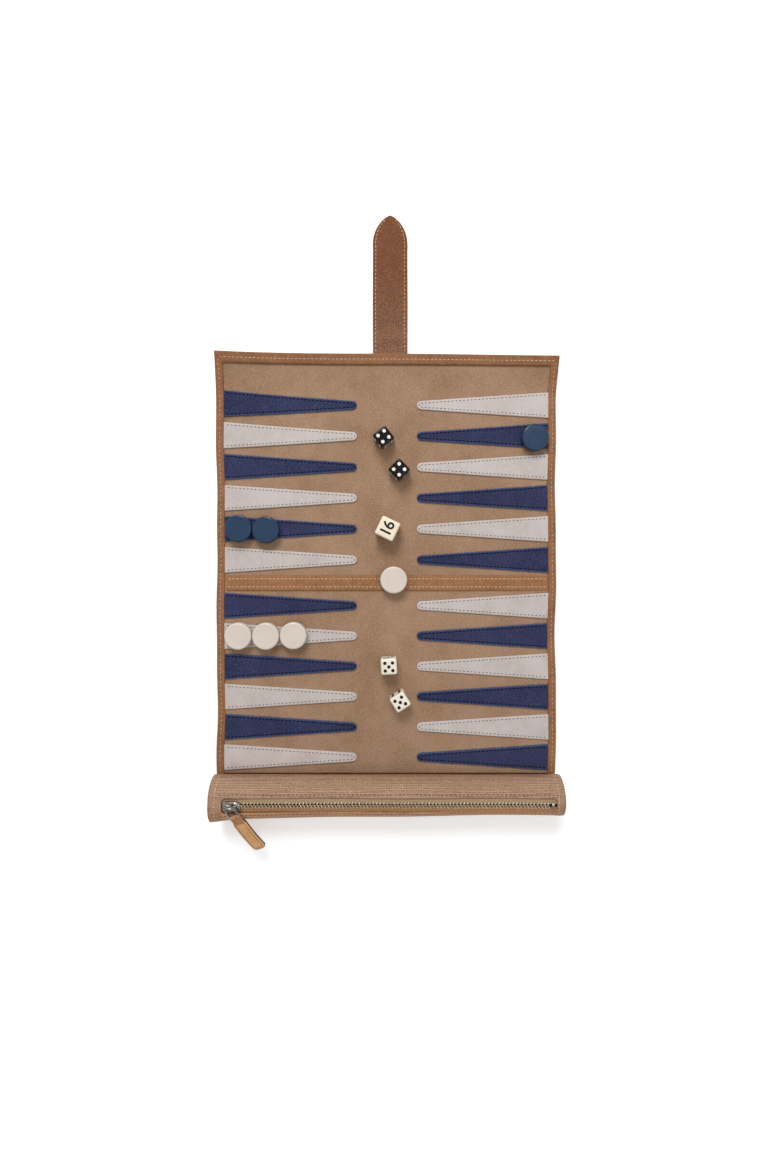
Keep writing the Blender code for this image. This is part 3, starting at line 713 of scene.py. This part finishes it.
def strap():
    """Three lengths of leather that meet midway between the hinges, the first tucked under the mat's end."""
    tip_low, tip_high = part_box("strap_tip")
    middle_x = (tip_low.x + tip_high.x) / 2
    half = (tip_high.x - tip_low.x) / 2
    end = tip_high.y - 2.2 * MM
    tucked = MAT_END_Y - 8 * MM
    thick = tip_high.z
    shoulder = end - 25 * MM

    def half_width(y):
        if y < shoulder:
            wave = 0.25 * MM * math.sin((y - tucked) * 40)
            return half + wave - 0.35 * MM * (shoulder - y) / (shoulder - tucked)
        t = min(1.0, (y - shoulder) / (end - shoulder))
        return half * max(0.0, 1 - t**2.3) ** 0.72 + 0.05 * MM

    hinges = [JOINTS[f"strap_bend_{part}"]["pos_m"][1] for part in STRAP_PARTS]
    bounds = [tucked, *[(a + b) / 2 for a, b in zip(hinges, hinges[1:])], end]
    bodies = ["mat_top_edge", *[f"strap_{part}" for part in STRAP_PARTS]]
    for index, (part, hinge, low, high) in enumerate(zip(STRAP_PARTS, hinges, bounds, bounds[1:])):
        ys = list(fold_steps(low, high, hinge))
        if part == "tip":
            ys = [*fold_steps(low, shoulder, hinge), *[shoulder + (end - shoulder) * t for t in STRAP_TIP_STEPS]]
        rings = []
        for y in ys:
            w = half_width(y)
            soft = min(0.6 * MM, w * 0.35)
            section = mirrored([(-w, 0.5 * MM), (-w, thick - 0.5 * MM), (-w + soft * 0.35, thick - 0.14 * MM),
                                (-w + soft, thick), (-w * 0.8, thick - 0.1 * MM), (-w * 0.4, thick + 0.02 * MM),
                                (0, thick + 0.05 * MM)]) + [(w - soft, 0.0), (0, 0.0), (-w + soft, 0.0)]
            rings.append([(middle_x + x, y, z + strap_lift(y, thick)) for x, z in section])
        made = loft(f"strap_leather_{part}", rings, LOOK["strap"])
        places = strap_seam(middle_x, half_width, low + (6 * MM if part == "root" else 0), high, end, thick)
        seam = stitch_mesh(f"strap_stitches_{part}", places, "pale_thread", 2.1 * MM, 0.55 * MM)
        for piece, slot in ((made, "strap_leather"), (seam, "thread")):
            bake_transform(piece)
        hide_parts(bodies[index + 1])


def strap_lift(y, thick):
    """The strap hangs from the mat's lifted end and comes down to the table beyond it."""
    lift = max(0.0, lay(0.0, min(y, MAT_END_Y), 0.0)[2] - thick)
    fall = ramp_up(y, MAT_END_Y, MAT_END_Y + STRAP_FALL)
    return lift * (1 - fall * fall * (3 - 2 * fall))


def strap_seam(middle_x, half_width, low, high, end, thick):
    """Stitches a little inside the strap's outline, meeting in a point at its tip."""
    places = []
    for side, _ in SIDES:
        path = [(middle_x + side * max(0.2 * MM, half_width(y) - STRAP_SEAM_IN), y, 0)
                for y in steps(low, min(high, end - STRAP_SEAM_IN - 1.2 * MM), 1.5 * MM)]
        places += [((p.x, p.y, thick + strap_lift(p.y, thick) + 0.02 * MM), d, UP)
                   for p, d in along_path(path, 3.2 * MM)]
    return places


# The pouch

POUCH_LOW, POUCH_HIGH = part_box("pouch_shell")
POUCH_R = (POUCH_HIGH.z - POUCH_LOW.z) / 2
POUCH_Y = POUCH_LOW.y + POUCH_R
HALF_TURN = math.pi * POUCH_R
POUCH_SKIN = 1.3 * MM
ZIP_LOW, ZIP_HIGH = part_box("zip_chain")
ZIP_TILT = math.radians(7)
WINDOW_HALF = 6 * MM
WINDOW_START, WINDOW_END = ZIP_LOW.x - 0.5 * MM, ZIP_HIGH.x + 0.5 * MM
WINDOW_CORNER = 2.8 * MM


def tube_radius(x):
    out = abs(x) / POUCH_HIGH.x
    return POUCH_R - 0.55 * MM * (1 - out**5) + 0.12 * MM * math.sin(x * 55 + 0.6)


def on_tube(x, arc_length, lift=0.0):
    """A point of the tube's skin: arc_length is measured over the top from the zip's middle, towards the mat."""
    radius = tube_radius(x)
    angle = arc_length / POUCH_R - ZIP_TILT
    normal = Vector((0, math.sin(angle), math.cos(angle)))
    front = max(0.0, -math.sin(angle)) * ramp_up(normal.z, -0.9, 0.2)
    left_end = ramp_up(-x, 0.85 * POUCH_HIGH.x, POUCH_HIGH.x)
    sag = 0.25 * MM * math.sin(x * 38 + 1.0) * max(0.0, math.cos(angle))
    sag += front * (2.0 * MM * left_end - 0.013 * x)
    return Vector((x, POUCH_Y, radius)) + normal * (radius + lift + sag), normal


def window_distance(x, a):
    """Signed distance to the zip window's rounded outline, negative inside."""
    middle = (WINDOW_START + WINDOW_END) / 2
    dx = abs(x - middle) - ((WINDOW_END - WINDOW_START) / 2 - WINDOW_CORNER)
    dy = abs(a) - (WINDOW_HALF - WINDOW_CORNER)
    return math.hypot(max(dx, 0), max(dy, 0)) + min(max(dx, dy), 0) - WINDOW_CORNER


def to_window(x, a):
    """The nearest place on the window's outline."""
    step = 0.01 * MM
    for _ in range(4):
        d = window_distance(x, a)
        gx = (window_distance(x + step, a) - d) / step
        ga = (window_distance(x, a + step) - d) / step
        size = math.hypot(gx, ga) or 1.0
        x, a = x - d * gx / size, a - d * ga / size
    return x, a


def near_window(x, a):
    return WINDOW_START - 2 * MM < x < WINDOW_END + 2 * MM and abs(a) < WINDOW_HALF + 2 * MM


def pouch_skin():
    """The tube's skin, a grid with the zip's window cut out, thickened inwards."""
    fine = WINDOW_HALF + 2 * MM
    arcs = [*steps(-HALF_TURN, -fine, 1.5 * MM), *steps(-fine, fine, 0.6 * MM)[1:-1],
            *steps(fine, HALF_TURN, 1.5 * MM)]
    bounds = [POUCH_LOW.x, WINDOW_START - 1 * MM, WINDOW_START + 5 * MM, WINDOW_END - 5 * MM, WINDOW_END + 1 * MM,
              POUCH_HIGH.x]
    xs = [bounds[0]]
    for low, high, size in zip(bounds, bounds[1:], (1.5, 0.6, 2.5, 0.6, 1.5)):
        xs += list(steps(low, high, size * MM)[1:])
    places = [(x, a) for x in xs for a in arcs]
    faces = [face for face in grid_faces(len(xs), len(arcs))
             if window_distance(*[sum(places[i][axis] for i in face) / 4 for axis in (0, 1)]) > 0]
    used = {}
    for face in faces:
        for a, b in zip(face, face[1:] + face[:1]):
            key = (min(a, b), max(a, b))
            used[key] = used.get(key, 0) + 1
    rim = {v for edge, count in used.items() if count == 1 for v in edge}
    moved = [to_window(*place) if i in rim and near_window(*place) else place for i, place in enumerate(places)]
    order = sorted({i for f in faces for i in f})
    renumber = {old: new for new, old in enumerate(order)}
    skin = mesh_object("pouch_skin", [on_tube(*moved[i])[0] for i in order],
                       [tuple(renumber[i] for i in f) for f in faces],
                       [LOOK["pouch"], LOOK["pouch_edge"], LOOK["void"]], sharp=60)
    for face in skin.data.polygons:
        lip = [moved[order[v]] for v in face.vertices]
        if all(-WINDOW_HALF - 5.5 * MM < a < -WINDOW_HALF + 1 * MM
               and WINDOW_START - 1 * MM < x < WINDOW_END + 1 * MM for x, a in lip):
            face.material_index = 1
    face = skin.data.polygons[0]
    if face.normal.dot(Vector((0, face.center.y - POUCH_Y, face.center.z - POUCH_R))) < 0:
        skin.data.flip_normals()
    thicken = skin.modifiers.new("thickness", "SOLIDIFY")
    thicken.thickness = POUCH_SKIN
    thicken.offset = -1
    thicken.material_offset_rim = 1
    thicken.material_offset = 2
    settle(skin, "pouch", "pouch_leather", "pouch_shell")


def pouch_ends():
    """A round leather panel sewn into each end of the tube."""
    for (side, label), end_x in zip(SIDES, (POUCH_LOW.x, POUCH_HIGH.x)):
        rings = []
        for share, bulge in ((1.0, 0.0), (0.97, 0.35), (0.9, 0.62), (0.7, 0.9), (0.4, 1.05), (0.1, 1.1)):
            radius = (tube_radius(end_x) - 1.4 * MM) * share
            x = end_x - side * (1.9 * MM - bulge * MM)
            rings.append([(x, POUCH_Y + radius * c, POUCH_R + radius * s) for c, s in circle(72)])
        back = [(x - side * 1.0 * MM, y, z) for x, y, z in rings[0]]
        settle(loft(f"pouch_end_{label}", [back, *rings], LOOK["pouch"]), "pouch", "pouch_leather")


def pouch_seams():
    sunk = -0.02 * MM
    places = []
    for a in (WINDOW_HALF + 2.6 * MM, -WINDOW_HALF - 2.4 * MM):
        path = [(x, a, 0) for x in steps(WINDOW_START - 3 * MM, WINDOW_END + 2.4 * MM, 4 * MM)]
        for p, _ in along_path(path):
            place, normal = on_tube(p.x, p.y, sunk)
            places.append((place, (1, 0, 0), normal))
    sew("pouch_zip_stitches", places, "pouch_thread", "pouch", 2.0 * MM, 0.6 * MM, 0.45 * MM)
    places = []
    for x in (POUCH_LOW.x + 5 * MM, POUCH_HIGH.x - 5 * MM):
        for a in np.arange(-40 * MM, 40 * MM, STITCH_PITCH):
            place, normal = on_tube(x, a, sunk)
            ahead, _ = on_tube(x, a + 1 * MM, sunk)
            places.append((place, ahead - place, normal))
    sew("pouch_end_stitches", places, "pale_thread", "pouch", 2.0 * MM, 0.7 * MM, 0.55 * MM)


# The zip. Heights in its tables are millimetres from the pouch's axis.

ZIP_FRAME = Matrix.Rotation(ZIP_TILT, 4, "X")
# (millimetres across from the zip's middle, height)
TAPE_SECTION = ((1.3, 14.2), (3.0, 14.0), (5.0, 13.7), (7.0, 13.1), (7.0, 12.6), (5.0, 13.2), (3.0, 13.5),
                (1.3, 13.7))
TOOTH_PITCH = 2.7 * MM
# (millimetres across, half the width in millimetres, height) at places along a tooth
TOOTH_BAR = ((-0.4, 0.3, 14.8), (-0.1, 0.5, 15.25), (0.7, 0.42, 15.3), (1.5, 0.55, 15.4), (2.3, 0.6, 15.25),
             (2.7, 0.4, 14.7))
# (share of half the width, millimetres from the height)
TOOTH_BACK = ((-1, -1.2), (-1, -0.45), (-0.55, -0.08), (0, 0.0), (0.55, -0.08), (1, -0.45), (1, -1.2))
# (share of half the width, height)
STOP_SECTION = ((-1, 13.9), (-1, 15.0), (-0.8, 15.4), (0.8, 15.4), (1, 15.0), (1, 13.9))


def zip_place(x, across, height):
    """A place in the zip's own frame: along, across towards the mat, and out from the pouch's axis."""
    tilted = ZIP_FRAME @ Vector((0, across, height))
    return Vector((x, POUCH_Y + tilted.y, tube_radius(x) + tilted.z))


def zip_tape():
    # The near tape takes the warmer, darker copy of the tape: painted shade.
    for side, label, look in ((-1, "near", "shaded_tape"), (1, "far", "tape")):
        rings = []
        for x in steps(WINDOW_START - 2.5 * MM, WINDOW_END + 2.5 * MM, 2.5 * MM):
            rings.append([zip_place(x, side * across * MM, height * MM + 0.12 * MM * math.sin(x * 160 + across))
                          for across, height in TAPE_SECTION])
        settle(loft(f"zip_tape_{label}", rings, LOOK[look]), "pouch", "zip_tape")


def zip_teeth():
    """Interlocking metal teeth: waisted bars with rounded backs, slanting away from the zip's middle."""
    verts, faces = [], []
    start, end = WINDOW_START + 15 * MM, WINDOW_END - 4 * MM
    for index in range(int((end - start) / (TOOTH_PITCH / 2))):
        side = 1 if index % 2 else -1
        x = start + index * TOOTH_PITCH / 2
        add_loft(verts, faces, [[zip_place(x + (across * width + 0.45 * reach) * MM, side * reach * MM,
                                           (top + drop) * MM) for across, drop in TOOTH_BACK]
                                for reach, width, top in TOOTH_BAR])
    teeth = outward(mesh_object("zip_teeth", verts, faces, LOOK["teeth"], sharp=50))
    settle(teeth, "pouch", "zip_metal", "zip_chain")


def zip_stop():
    """A pressed metal stop across both rows of teeth."""
    x, length, width = WINDOW_END - 3.2 * MM, 2.4 * MM, 5.4 * MM
    rings = []
    for t in (-1, -0.8, 0, 0.8, 1):
        inset = 0.35 if abs(t) == 1 else 0.0
        rings.append([zip_place(x + t * length / 2, across * (width / 2 - inset * MM),
                                (height - inset * (height > 14)) * MM) for across, height in STOP_SECTION])
    settle(loft("zip_bottom_stop", rings, LOOK["steel"]), "pouch", "zip_metal")


def tube_mesh(name, path, radius, look, closed=False, sides=14, flat=1.0, up=UP):
    """A wire along a path; flat squeezes it in its up direction."""
    path = [Vector(p) for p in path]
    count = len(path)
    rings = []
    for i, p in enumerate(path):
        before = path[(i - 1) % count] if closed or i else path[0]
        after = path[(i + 1) % count] if closed or i < count - 1 else path[-1]
        tangent = (after - before).normalized()
        side = tangent.cross(up).normalized()
        top = side.cross(tangent).normalized()
        rings.append([p + side * (c * radius) + top * (s * radius * flat) for c, s in circle(sides)])
    if not closed:
        return loft(name, rings, look)
    total = count * sides
    faces = [tuple(v % total for v in face) for face in grid_faces(count + 1, sides, wrap=True)]
    return outward(mesh_object(name, [p for ring in rings for p in ring], faces, look))


PIVOT = Vector(JOINTS["pull_swing"]["pos_m"])
POST = Vector(JOINTS["pull_swing"]["axis"]).normalized()
TOWARDS = (Vector(JOINTS["tab_lift"]["pos_m"]) - PIVOT).normalized()
SIDEWAYS = POST.cross(TOWARDS)


def pull_place(along, across, height):
    """A place in the pull's own frame, from the slider's pivot towards the tab's hinge."""
    return PIVOT + TOWARDS * along + SIDEWAYS * across + POST * height


def zip_slider():
    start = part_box("zip_slider")[0].x
    rings = []
    for t in steps(0, 1, 0.05):
        half = (2.2 + 1.9 * math.sin(math.pi * min(1, 0.16 + t * 0.78)) ** 0.7) * MM
        crown = 17.0 + 0.5 * math.sin(math.pi * t)
        shrink = 0.55 if t in (0.0, 1.0) else 1.0
        section = mirrored([(-1, 15.35), (-1, crown - 0.8), (-0.82, crown - 0.25), (-0.4, crown)])
        heights = [h if h < 16 else 16 + (h - 16) * shrink for _, h in section]
        rings.append([zip_place(start + 14 * MM * t, a * half * shrink, h * MM)
                      for (a, _), h in zip(section, heights)])
    settle(loft("slider_body", rings, LOOK["steel"], sharp=50), "zip_slider", "zip_metal", "zip_slider")
    bow = [zip_place(PIVOT.x - c * 4.4 * MM + 0.6 * MM, 0.9 * MM, (16.9 + 3.4 * s**0.8) * MM)
           for c, s in arc(15, 0, 180)]
    bail = tube_mesh("slider_bail", bow, 1.0 * MM, LOOK["steel"], flat=0.8, up=Vector((0, 1, 0)))
    settle(bail, "zip_slider", "zip_metal")


def pull_ring():
    """The wire loop between the slider's bail and the tab, wider at the tab's end."""
    low, high, half = -3.0 * MM, 10.4 * MM, 3.7 * MM
    path = [(high - half * 0.8 + c * half * 0.8, s * half * 1.15) for c, s in arc(13, -90, 180)]
    path += [(low + half * 0.7 + c * half * 0.7, s * half * 0.7) for c, s in arc(13, 90, 180)]
    wire = [pull_place(along, across, 0.1 * MM) for along, across in path]
    ring = tube_mesh("pull_ring_wire", wire, 0.85 * MM, LOOK["steel"], closed=True, up=POST)
    settle(ring, "zip_pull_ring", "zip_metal", "zip_pull_ring")


TAB_START, TAB_NECK, TAB_END = 8.4 * MM, 17.5 * MM, 48.2 * MM
TAB_HALF_THICK = 1.25 * MM


def tab_bow(s):
    """How far the tongue bows up from its straight line."""
    return (0.9 * math.sin(math.pi * ramp_up(s, 12 * MM, TAB_END)) - 0.2) * MM


def strip_section(half, bottom, top, soft):
    return mirrored([(-half, bottom + soft), (-half, top - soft), (-half + soft * 0.5, top - soft * 0.15),
                     (-half + soft * 1.4, top), (-half * 0.4, top + 0.05 * MM)]) + [
                         (half - soft, bottom), (-half + soft, bottom)]


def tab_band():
    """The leather folded round the ring."""
    nose_end = TAB_START + 1.6 * MM
    rings = []
    for s in [TAB_START, *[TAB_START + d * MM for d in (0.15, 0.5, 1.0)], *steps(nose_end, TAB_NECK, 0.9 * MM)]:
        nose = math.sqrt(max(0.04, 1 - (1 - ramp_up(s, TAB_START, nose_end)) ** 2))
        swell = 0.5 * MM * math.exp(-(((s - TAB_START - 2.4 * MM) / (2.2 * MM)) ** 2))
        half = (4.1 + 0.7 * ramp_up(s, TAB_START + 2 * MM, TAB_NECK) ** 2) * MM
        thick = (TAB_HALF_THICK + swell) * nose
        section = strip_section(half, tab_bow(s) - thick, thick + tab_bow(s) + 0.1 * MM, 0.5 * MM * nose)
        rings.append([pull_place(s, a, h) for a, h in section])
    settle(loft("tab_band", rings, LOOK["pouch"], sharp=60), "zip_pull_tab", "tab_leather")


def tab_tongue():
    """The sewn tongue, its edges dark with painted shade, a little bowed and cut askew at its end."""
    rings = []
    for s in [*steps(TAB_NECK - 3.2 * MM, TAB_NECK, 0.5 * MM),
              *steps(TAB_NECK + 1 * MM, TAB_END - 4 * MM, 1.5 * MM),
              *[TAB_END - d * MM for d in (3.2, 2.4, 1.7, 1.1, 0.6, 0.25, 0.06, 0.0)]]:
        shoulder = ramp_up(s, TAB_NECK - 3.2 * MM, TAB_NECK)
        half = (4.4 + 0.9 * shoulder * shoulder * (3 - 2 * shoulder)) * MM
        tail = ramp_up(s, TAB_END - 3.4 * MM, TAB_END)
        round_off = 1 - math.sqrt(max(0.0, 1 - tail * tail))
        skew = 1.1 * MM * ramp_up(s, TAB_END - 6 * MM, TAB_END)
        thin = 0.55 + 0.45 * ramp_up(s, TAB_NECK - 3.2 * MM, TAB_NECK - 1 * MM)
        section = strip_section(half, tab_bow(s) - TAB_HALF_THICK, tab_bow(s) + TAB_HALF_THICK * thin, 0.4 * MM)
        rings.append([pull_place(s, a * (1 - round_off * 0.5) + skew * (a < 0) * round_off, h)
                      for a, h in section])
    tongue = loft("tab_tongue", rings, [LOOK["tab"], LOOK["tab_edge"]], sharp=55)
    # Faces along the sides get the dark edge colour: painted shade.
    for face in tongue.data.polygons:
        if abs(face.normal.dot(POST)) < 0.5:
            face.material_index = 1
    settle(tongue, "zip_pull_tab", "tab_leather", "zip_pull_tab")


def pull_tab():
    tab_band()
    tab_tongue()
    marks = [(s, side * 3.7 * MM, TOWARDS) for side, _ in SIDES
             for s in np.arange(TAB_NECK + 0.8 * MM, TAB_END - 3 * MM, 2.3 * MM)]
    marks += [(TAB_END - 2.2 * MM, a * MM, SIDEWAYS) for a in (-2.2, 0, 2.2)]
    places = [(pull_place(s, a, tab_bow(s) + TAB_HALF_THICK + 0.02 * MM), along, POST) for s, a, along in marks]
    sew("tab_stitches", places, "pouch_thread", "zip_pull_tab", 1.5 * MM, 0.65 * MM, 0.5 * MM)


# The loose pieces

CAD_GAP = 0.3 * MM  # the clearance that the CAD leaves under each, closed here
CHECKER_R = 11 * MM
CHECKER_H = 7 * MM
CHECKER_EDGE = 1.5 * MM


def turned(name, centre, profile, look, segments=96, axis=UP):
    """A solid turned about a line through centre, from (radius, height) pairs."""
    turn = UP.rotation_difference(axis).to_matrix()
    rings = [[Vector(centre) + turn @ Vector((r * c, r * s, z)) for c, s in circle(segments)] for r, z in profile]
    return loft(name, rings, look, sharp=50)


def checker_profile(height=CHECKER_H):
    """A disc with well rounded edges and a shallow dish in each face."""
    flat = CHECKER_R - CHECKER_EDGE
    upper = [(flat + CHECKER_EDGE * s, height - CHECKER_EDGE + CHECKER_EDGE * c) for c, s in arc(11, 0, 90)]
    dish = [(0.02 * MM, height - 0.16 * MM), (CHECKER_R * 0.5, height - 0.155 * MM),
            (flat - 1.5 * MM, height - 0.13 * MM), (flat - 0.7 * MM, height - 0.05 * MM)]
    top = dish + upper
    return [(r, height - z) for r, z in top] + top[::-1]


def checkers():
    for name in [n for n in frame["bodies"] if n.startswith("checker_")]:
        low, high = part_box(name)
        look = "blue_checker" if "blue" in name else "ivory_checker"
        centre = ((low.x + high.x) / 2, (low.y + high.y) / 2, low.z - CAD_GAP)
        made = turned(name.replace("checker", "playing_checker"), centre, checker_profile(), LOOK[look])
        settle(made, name, look, name)


def stored_checkers():
    """The rest of the set, on edge in the pouch, each a separate checker."""
    for colour, look in (("blue", "blue_checker"), ("white", "ivory_checker")):
        node = f"stored_checkers_{colour}"
        low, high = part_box(node)
        count = int(round((high.x - low.x) / CHECKER_H))
        for index in range(count):
            x = low.x + index * (high.x - low.x) / count
            place = (x, (low.y + high.y) / 2, (low.z + high.z) / 2 - 0.2 * MM)
            profile = checker_profile(CHECKER_H - 0.05 * MM)
            made = turned(f"stored_{colour}_{index + 1:02d}", place, profile, LOOK[look], 48, Vector((1, 0, 0)))
            settle(made, "pouch", look, *([] if index else [node]))


CUBE_EDGE = 1.6 * MM
PIP_R = 1.4 * MM
PIP_GAP = 0.235  # of the die's size
PIP_RINGS = ((1.0, -0.25), (1.0, 0.03), (0.93, 0.07), (0.6, 0.055), (0.25, 0.05))  # (share of PIP_R, mm proud)
PIPS = {
    1: [(0, 0)],
    2: [(-1, -1), (1, 1)],
    3: [(-1, -1), (0, 0), (1, 1)],
    4: [(-1, -1), (1, -1), (-1, 1), (1, 1)],
    5: [(-1, -1), (1, -1), (0, 0), (-1, 1), (1, 1)],
    6: [(-1, -1), (1, -1), (-1, 0), (1, 0), (-1, 1), (1, 1)],
}


def rounded_cube(name, centre, size, turn, look):
    """A cube whose edges and corners are rounded to one radius."""
    built = bmesh.new()
    bmesh.ops.create_cube(built, size=2.0)
    bmesh.ops.subdivide_edges(built, edges=built.edges, cuts=14, use_grid_fill=True)
    half = size / 2
    core = half - CUBE_EDGE
    rotation = Matrix.Rotation(turn, 3, "Z")
    for vert in built.verts:
        p = Vector([math.copysign(abs(c) ** 0.82, c) * half for c in vert.co])
        inner = Vector([max(-core, min(core, c)) for c in p])
        if (p - inner).length > 1e-9:
            p = inner + (p - inner).normalized() * CUBE_EDGE
        vert.co = centre + rotation @ p
    mesh = bpy.data.meshes.new(name)
    built.to_mesh(mesh)
    built.free()
    mesh.shade_smooth()
    return show(name, mesh, look)


def node_turn(node):
    """How far a CAD cube is turned about Z, from the directions of its walls."""
    walls = [p for p in frame["nodes"][node].data.polygons if abs(p.normal.z) < 0.01]
    best = max(walls, key=lambda p: p.area)
    return math.atan2(best.normal.y, best.normal.x) % (math.pi / 2)


def cube(node, name, look, slot):
    """A rounded cube for a CAD one: its centre, its size, and (outward, right, up) of its six sides."""
    low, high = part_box(node)
    size = high.z - low.z
    centre = Vector(((low.x + high.x) / 2, (low.y + high.y) / 2, low.z - CAD_GAP + size / 2))
    turn = node_turn(node)
    settle(rounded_cube(name, centre, size, turn, LOOK[look]), node, slot, node)
    spin = Matrix.Rotation(turn, 3, "Z")
    right, back = spin @ Vector((1, 0, 0)), spin @ Vector((0, 1, 0))
    sides = [(UP, right, back), (-UP, right, spin @ Vector((0, -1, 0)))]
    for x, y in ((1, 0), (0, 1), (-1, 0), (0, -1)):
        out = spin @ Vector((x, y, 0))
        sides.append((out, UP.cross(out), UP))
    return centre, size, sides


def die(node, look, pip_look, slots, numbers):
    """A die whose pips are shallow painted dots that stand just proud, with a dip in their middle."""
    centre, size, sides = cube(node, node.replace("die", "playing_die"), look, slots[0])
    verts, faces = [], []
    for (out, right, up), number in zip(sides, numbers):
        for u, v in PIPS[number]:
            middle = centre + out * (size / 2) + right * (u * size * PIP_GAP) + up * (v * size * PIP_GAP)
            add_loft(verts, faces, [[middle + right * (c * PIP_R * r) + up * (s * PIP_R * r) + out * (h * MM)
                                     for c, s in circle(20)] for r, h in PIP_RINGS])
    pips = outward(mesh_object(node.replace("die", "pips"), verts, faces, LOOK[pip_look]))
    settle(pips, node, slots[1])


def dice():
    """The numbers are those of the top, the bottom and the four walls."""
    for node, numbers in (("die_black_1", (4, 3, 1, 2, 6, 5)), ("die_black_2", (4, 3, 2, 6, 5, 1))):
        die(node, "black_die", "white_pip", ("black_dice", "ivory_dice"), numbers)
    for node, numbers in (("die_white_1", (5, 2, 1, 3, 6, 4)), ("die_white_2", (5, 2, 3, 6, 4, 1))):
        die(node, "ivory_die", "black_pip", ("ivory_dice", "black_dice"), numbers)


def doubling_cube():
    centre, size, sides = cube("doubling_cube", "doubling_cube_body", "cube", "cube_ivory")
    for (out, right, up), number in zip(sides, ("16", "8", "2", "4", "32", "64")):
        height = size * (0.8 if number == "16" else 0.66)
        face_number(number, centre + out * (size / 2 - 0.1 * MM), out, right, up, height)


def face_number(number, middle, out, right, up, height):
    """A number standing a hair proud of the cube's face, as a solid of its own."""
    curve = bpy.data.curves.new(f"number_{number}", "FONT")
    curve.body = number
    curve.align_x, curve.align_y = "CENTER", "CENTER"
    curve.size = height
    curve.extrude = 0.14 * MM
    curve.offset = 0.22 * MM
    curve.space_character = 0.92
    text = placed(f"number_text_{number}", curve)
    bpy.context.view_layer.update()
    mesh = bpy.data.meshes.new_from_object(text.evaluated_get(bpy.context.evaluated_depsgraph_get()))
    bpy.data.objects.remove(text, do_unlink=True)
    placing = Matrix((right, up, out)).transposed().to_4x4()
    placing.translation = middle
    mesh.transform(placing)
    settle(show(f"cube_number_{number}", mesh, LOOK["black_pip"]), "doubling_cube", "black_dice")


# The stage

def stage():
    corners = [(-4, -4, 0), (4, -4, 0), (4, 4, 0), (-4, 4, 0)]
    floor = mesh_object("studio_floor", corners, [(0, 1, 2, 3)], floor_look(), smooth=False)
    floor.location.z = -0.2 * MM
    studio_sky()
    softbox("key", (-0.25, 1.25, 1.15), 0.8, 23)
    softbox("fill", (0.7, -0.2, 1.4), 1.3, 4)


def studio_sky():
    """Light from above, darker towards the horizon so that metal has something dark to mirror."""
    world = bpy.data.worlds.new("studio")
    bpy.context.scene.world = world
    world.use_nodes = True
    tree = world.node_tree
    kinds = ("TexCoord", "SeparateXYZ", "ValToRGB", "Background", "LightPath", "MixShader")
    coordinates, split, ramp, seen, path, mix = [tree.nodes.new(f"ShaderNode{kind}") for kind in kinds]
    tree.links.new(coordinates.outputs["Generated"], split.inputs[0])
    tree.links.new(split.outputs["Z"], ramp.inputs["Fac"])
    ramp.color_ramp.elements[0].color = (0.18, 0.17, 0.16, 1)
    ramp.color_ramp.elements[1].color = (1.0, 1.0, 1.0, 1)
    ramp.color_ramp.elements[1].position = 0.75
    sky = tree.nodes["Background"]
    tree.links.new(ramp.outputs["Color"], sky.inputs["Color"])
    sky.inputs["Strength"].default_value = 0.62
    # What the camera itself sees past the floor is plain white.
    seen.inputs["Color"].default_value = (1, 1, 1, 1)
    tree.links.new(path.outputs["Is Camera Ray"], mix.inputs[0])
    tree.links.new(sky.outputs[0], mix.inputs[1])
    tree.links.new(seen.outputs[0], mix.inputs[2])
    tree.links.new(mix.outputs[0], tree.nodes["World Output"].inputs["Surface"])


def floor_look():
    made = Nodes("floor", roughness=0.9)
    made.set(made.shader, {"Base Color": (0.96, 0.96, 0.96, 1), "Specular IOR Level": 0.1,
                           "Emission Color": (1, 1, 1, 1), "Emission Strength": 0.22})
    return made.made


def softbox(name, place, size, power):
    """A round light that looks at a place near the middle of the set."""
    light = bpy.data.lights.new(name, "AREA")
    light.shape = "DISK"
    light.size = size
    light.energy = power
    made = placed(name, light)
    made.location = place
    made.rotation_euler = (Vector((0, 0.03, 0)) - Vector(place)).to_track_quat("-Z", "Y").to_euler()


def camera():
    """Straight above the set, with the picture shifted a little."""
    lens = bpy.data.cameras.new("camera")
    lens.sensor_width = 36
    lens.lens = 17.57
    lens.shift_y = -0.030
    lens.clip_start = 0.01
    made = placed("camera", lens)
    made.location = (0.0025, 0.027, 0.471)
    bpy.context.scene.camera = made


mat()
top_binding()
points()
bar_strip()
strap()
pouch_skin()
pouch_ends()
pouch_seams()
zip_tape()
zip_teeth()
zip_stop()
zip_slider()
pull_ring()
pull_tab()
checkers()
stored_checkers()
dice()
doubling_cube()
stage()
camera()
bpy.context.scene.view_settings.view_transform = "Standard"
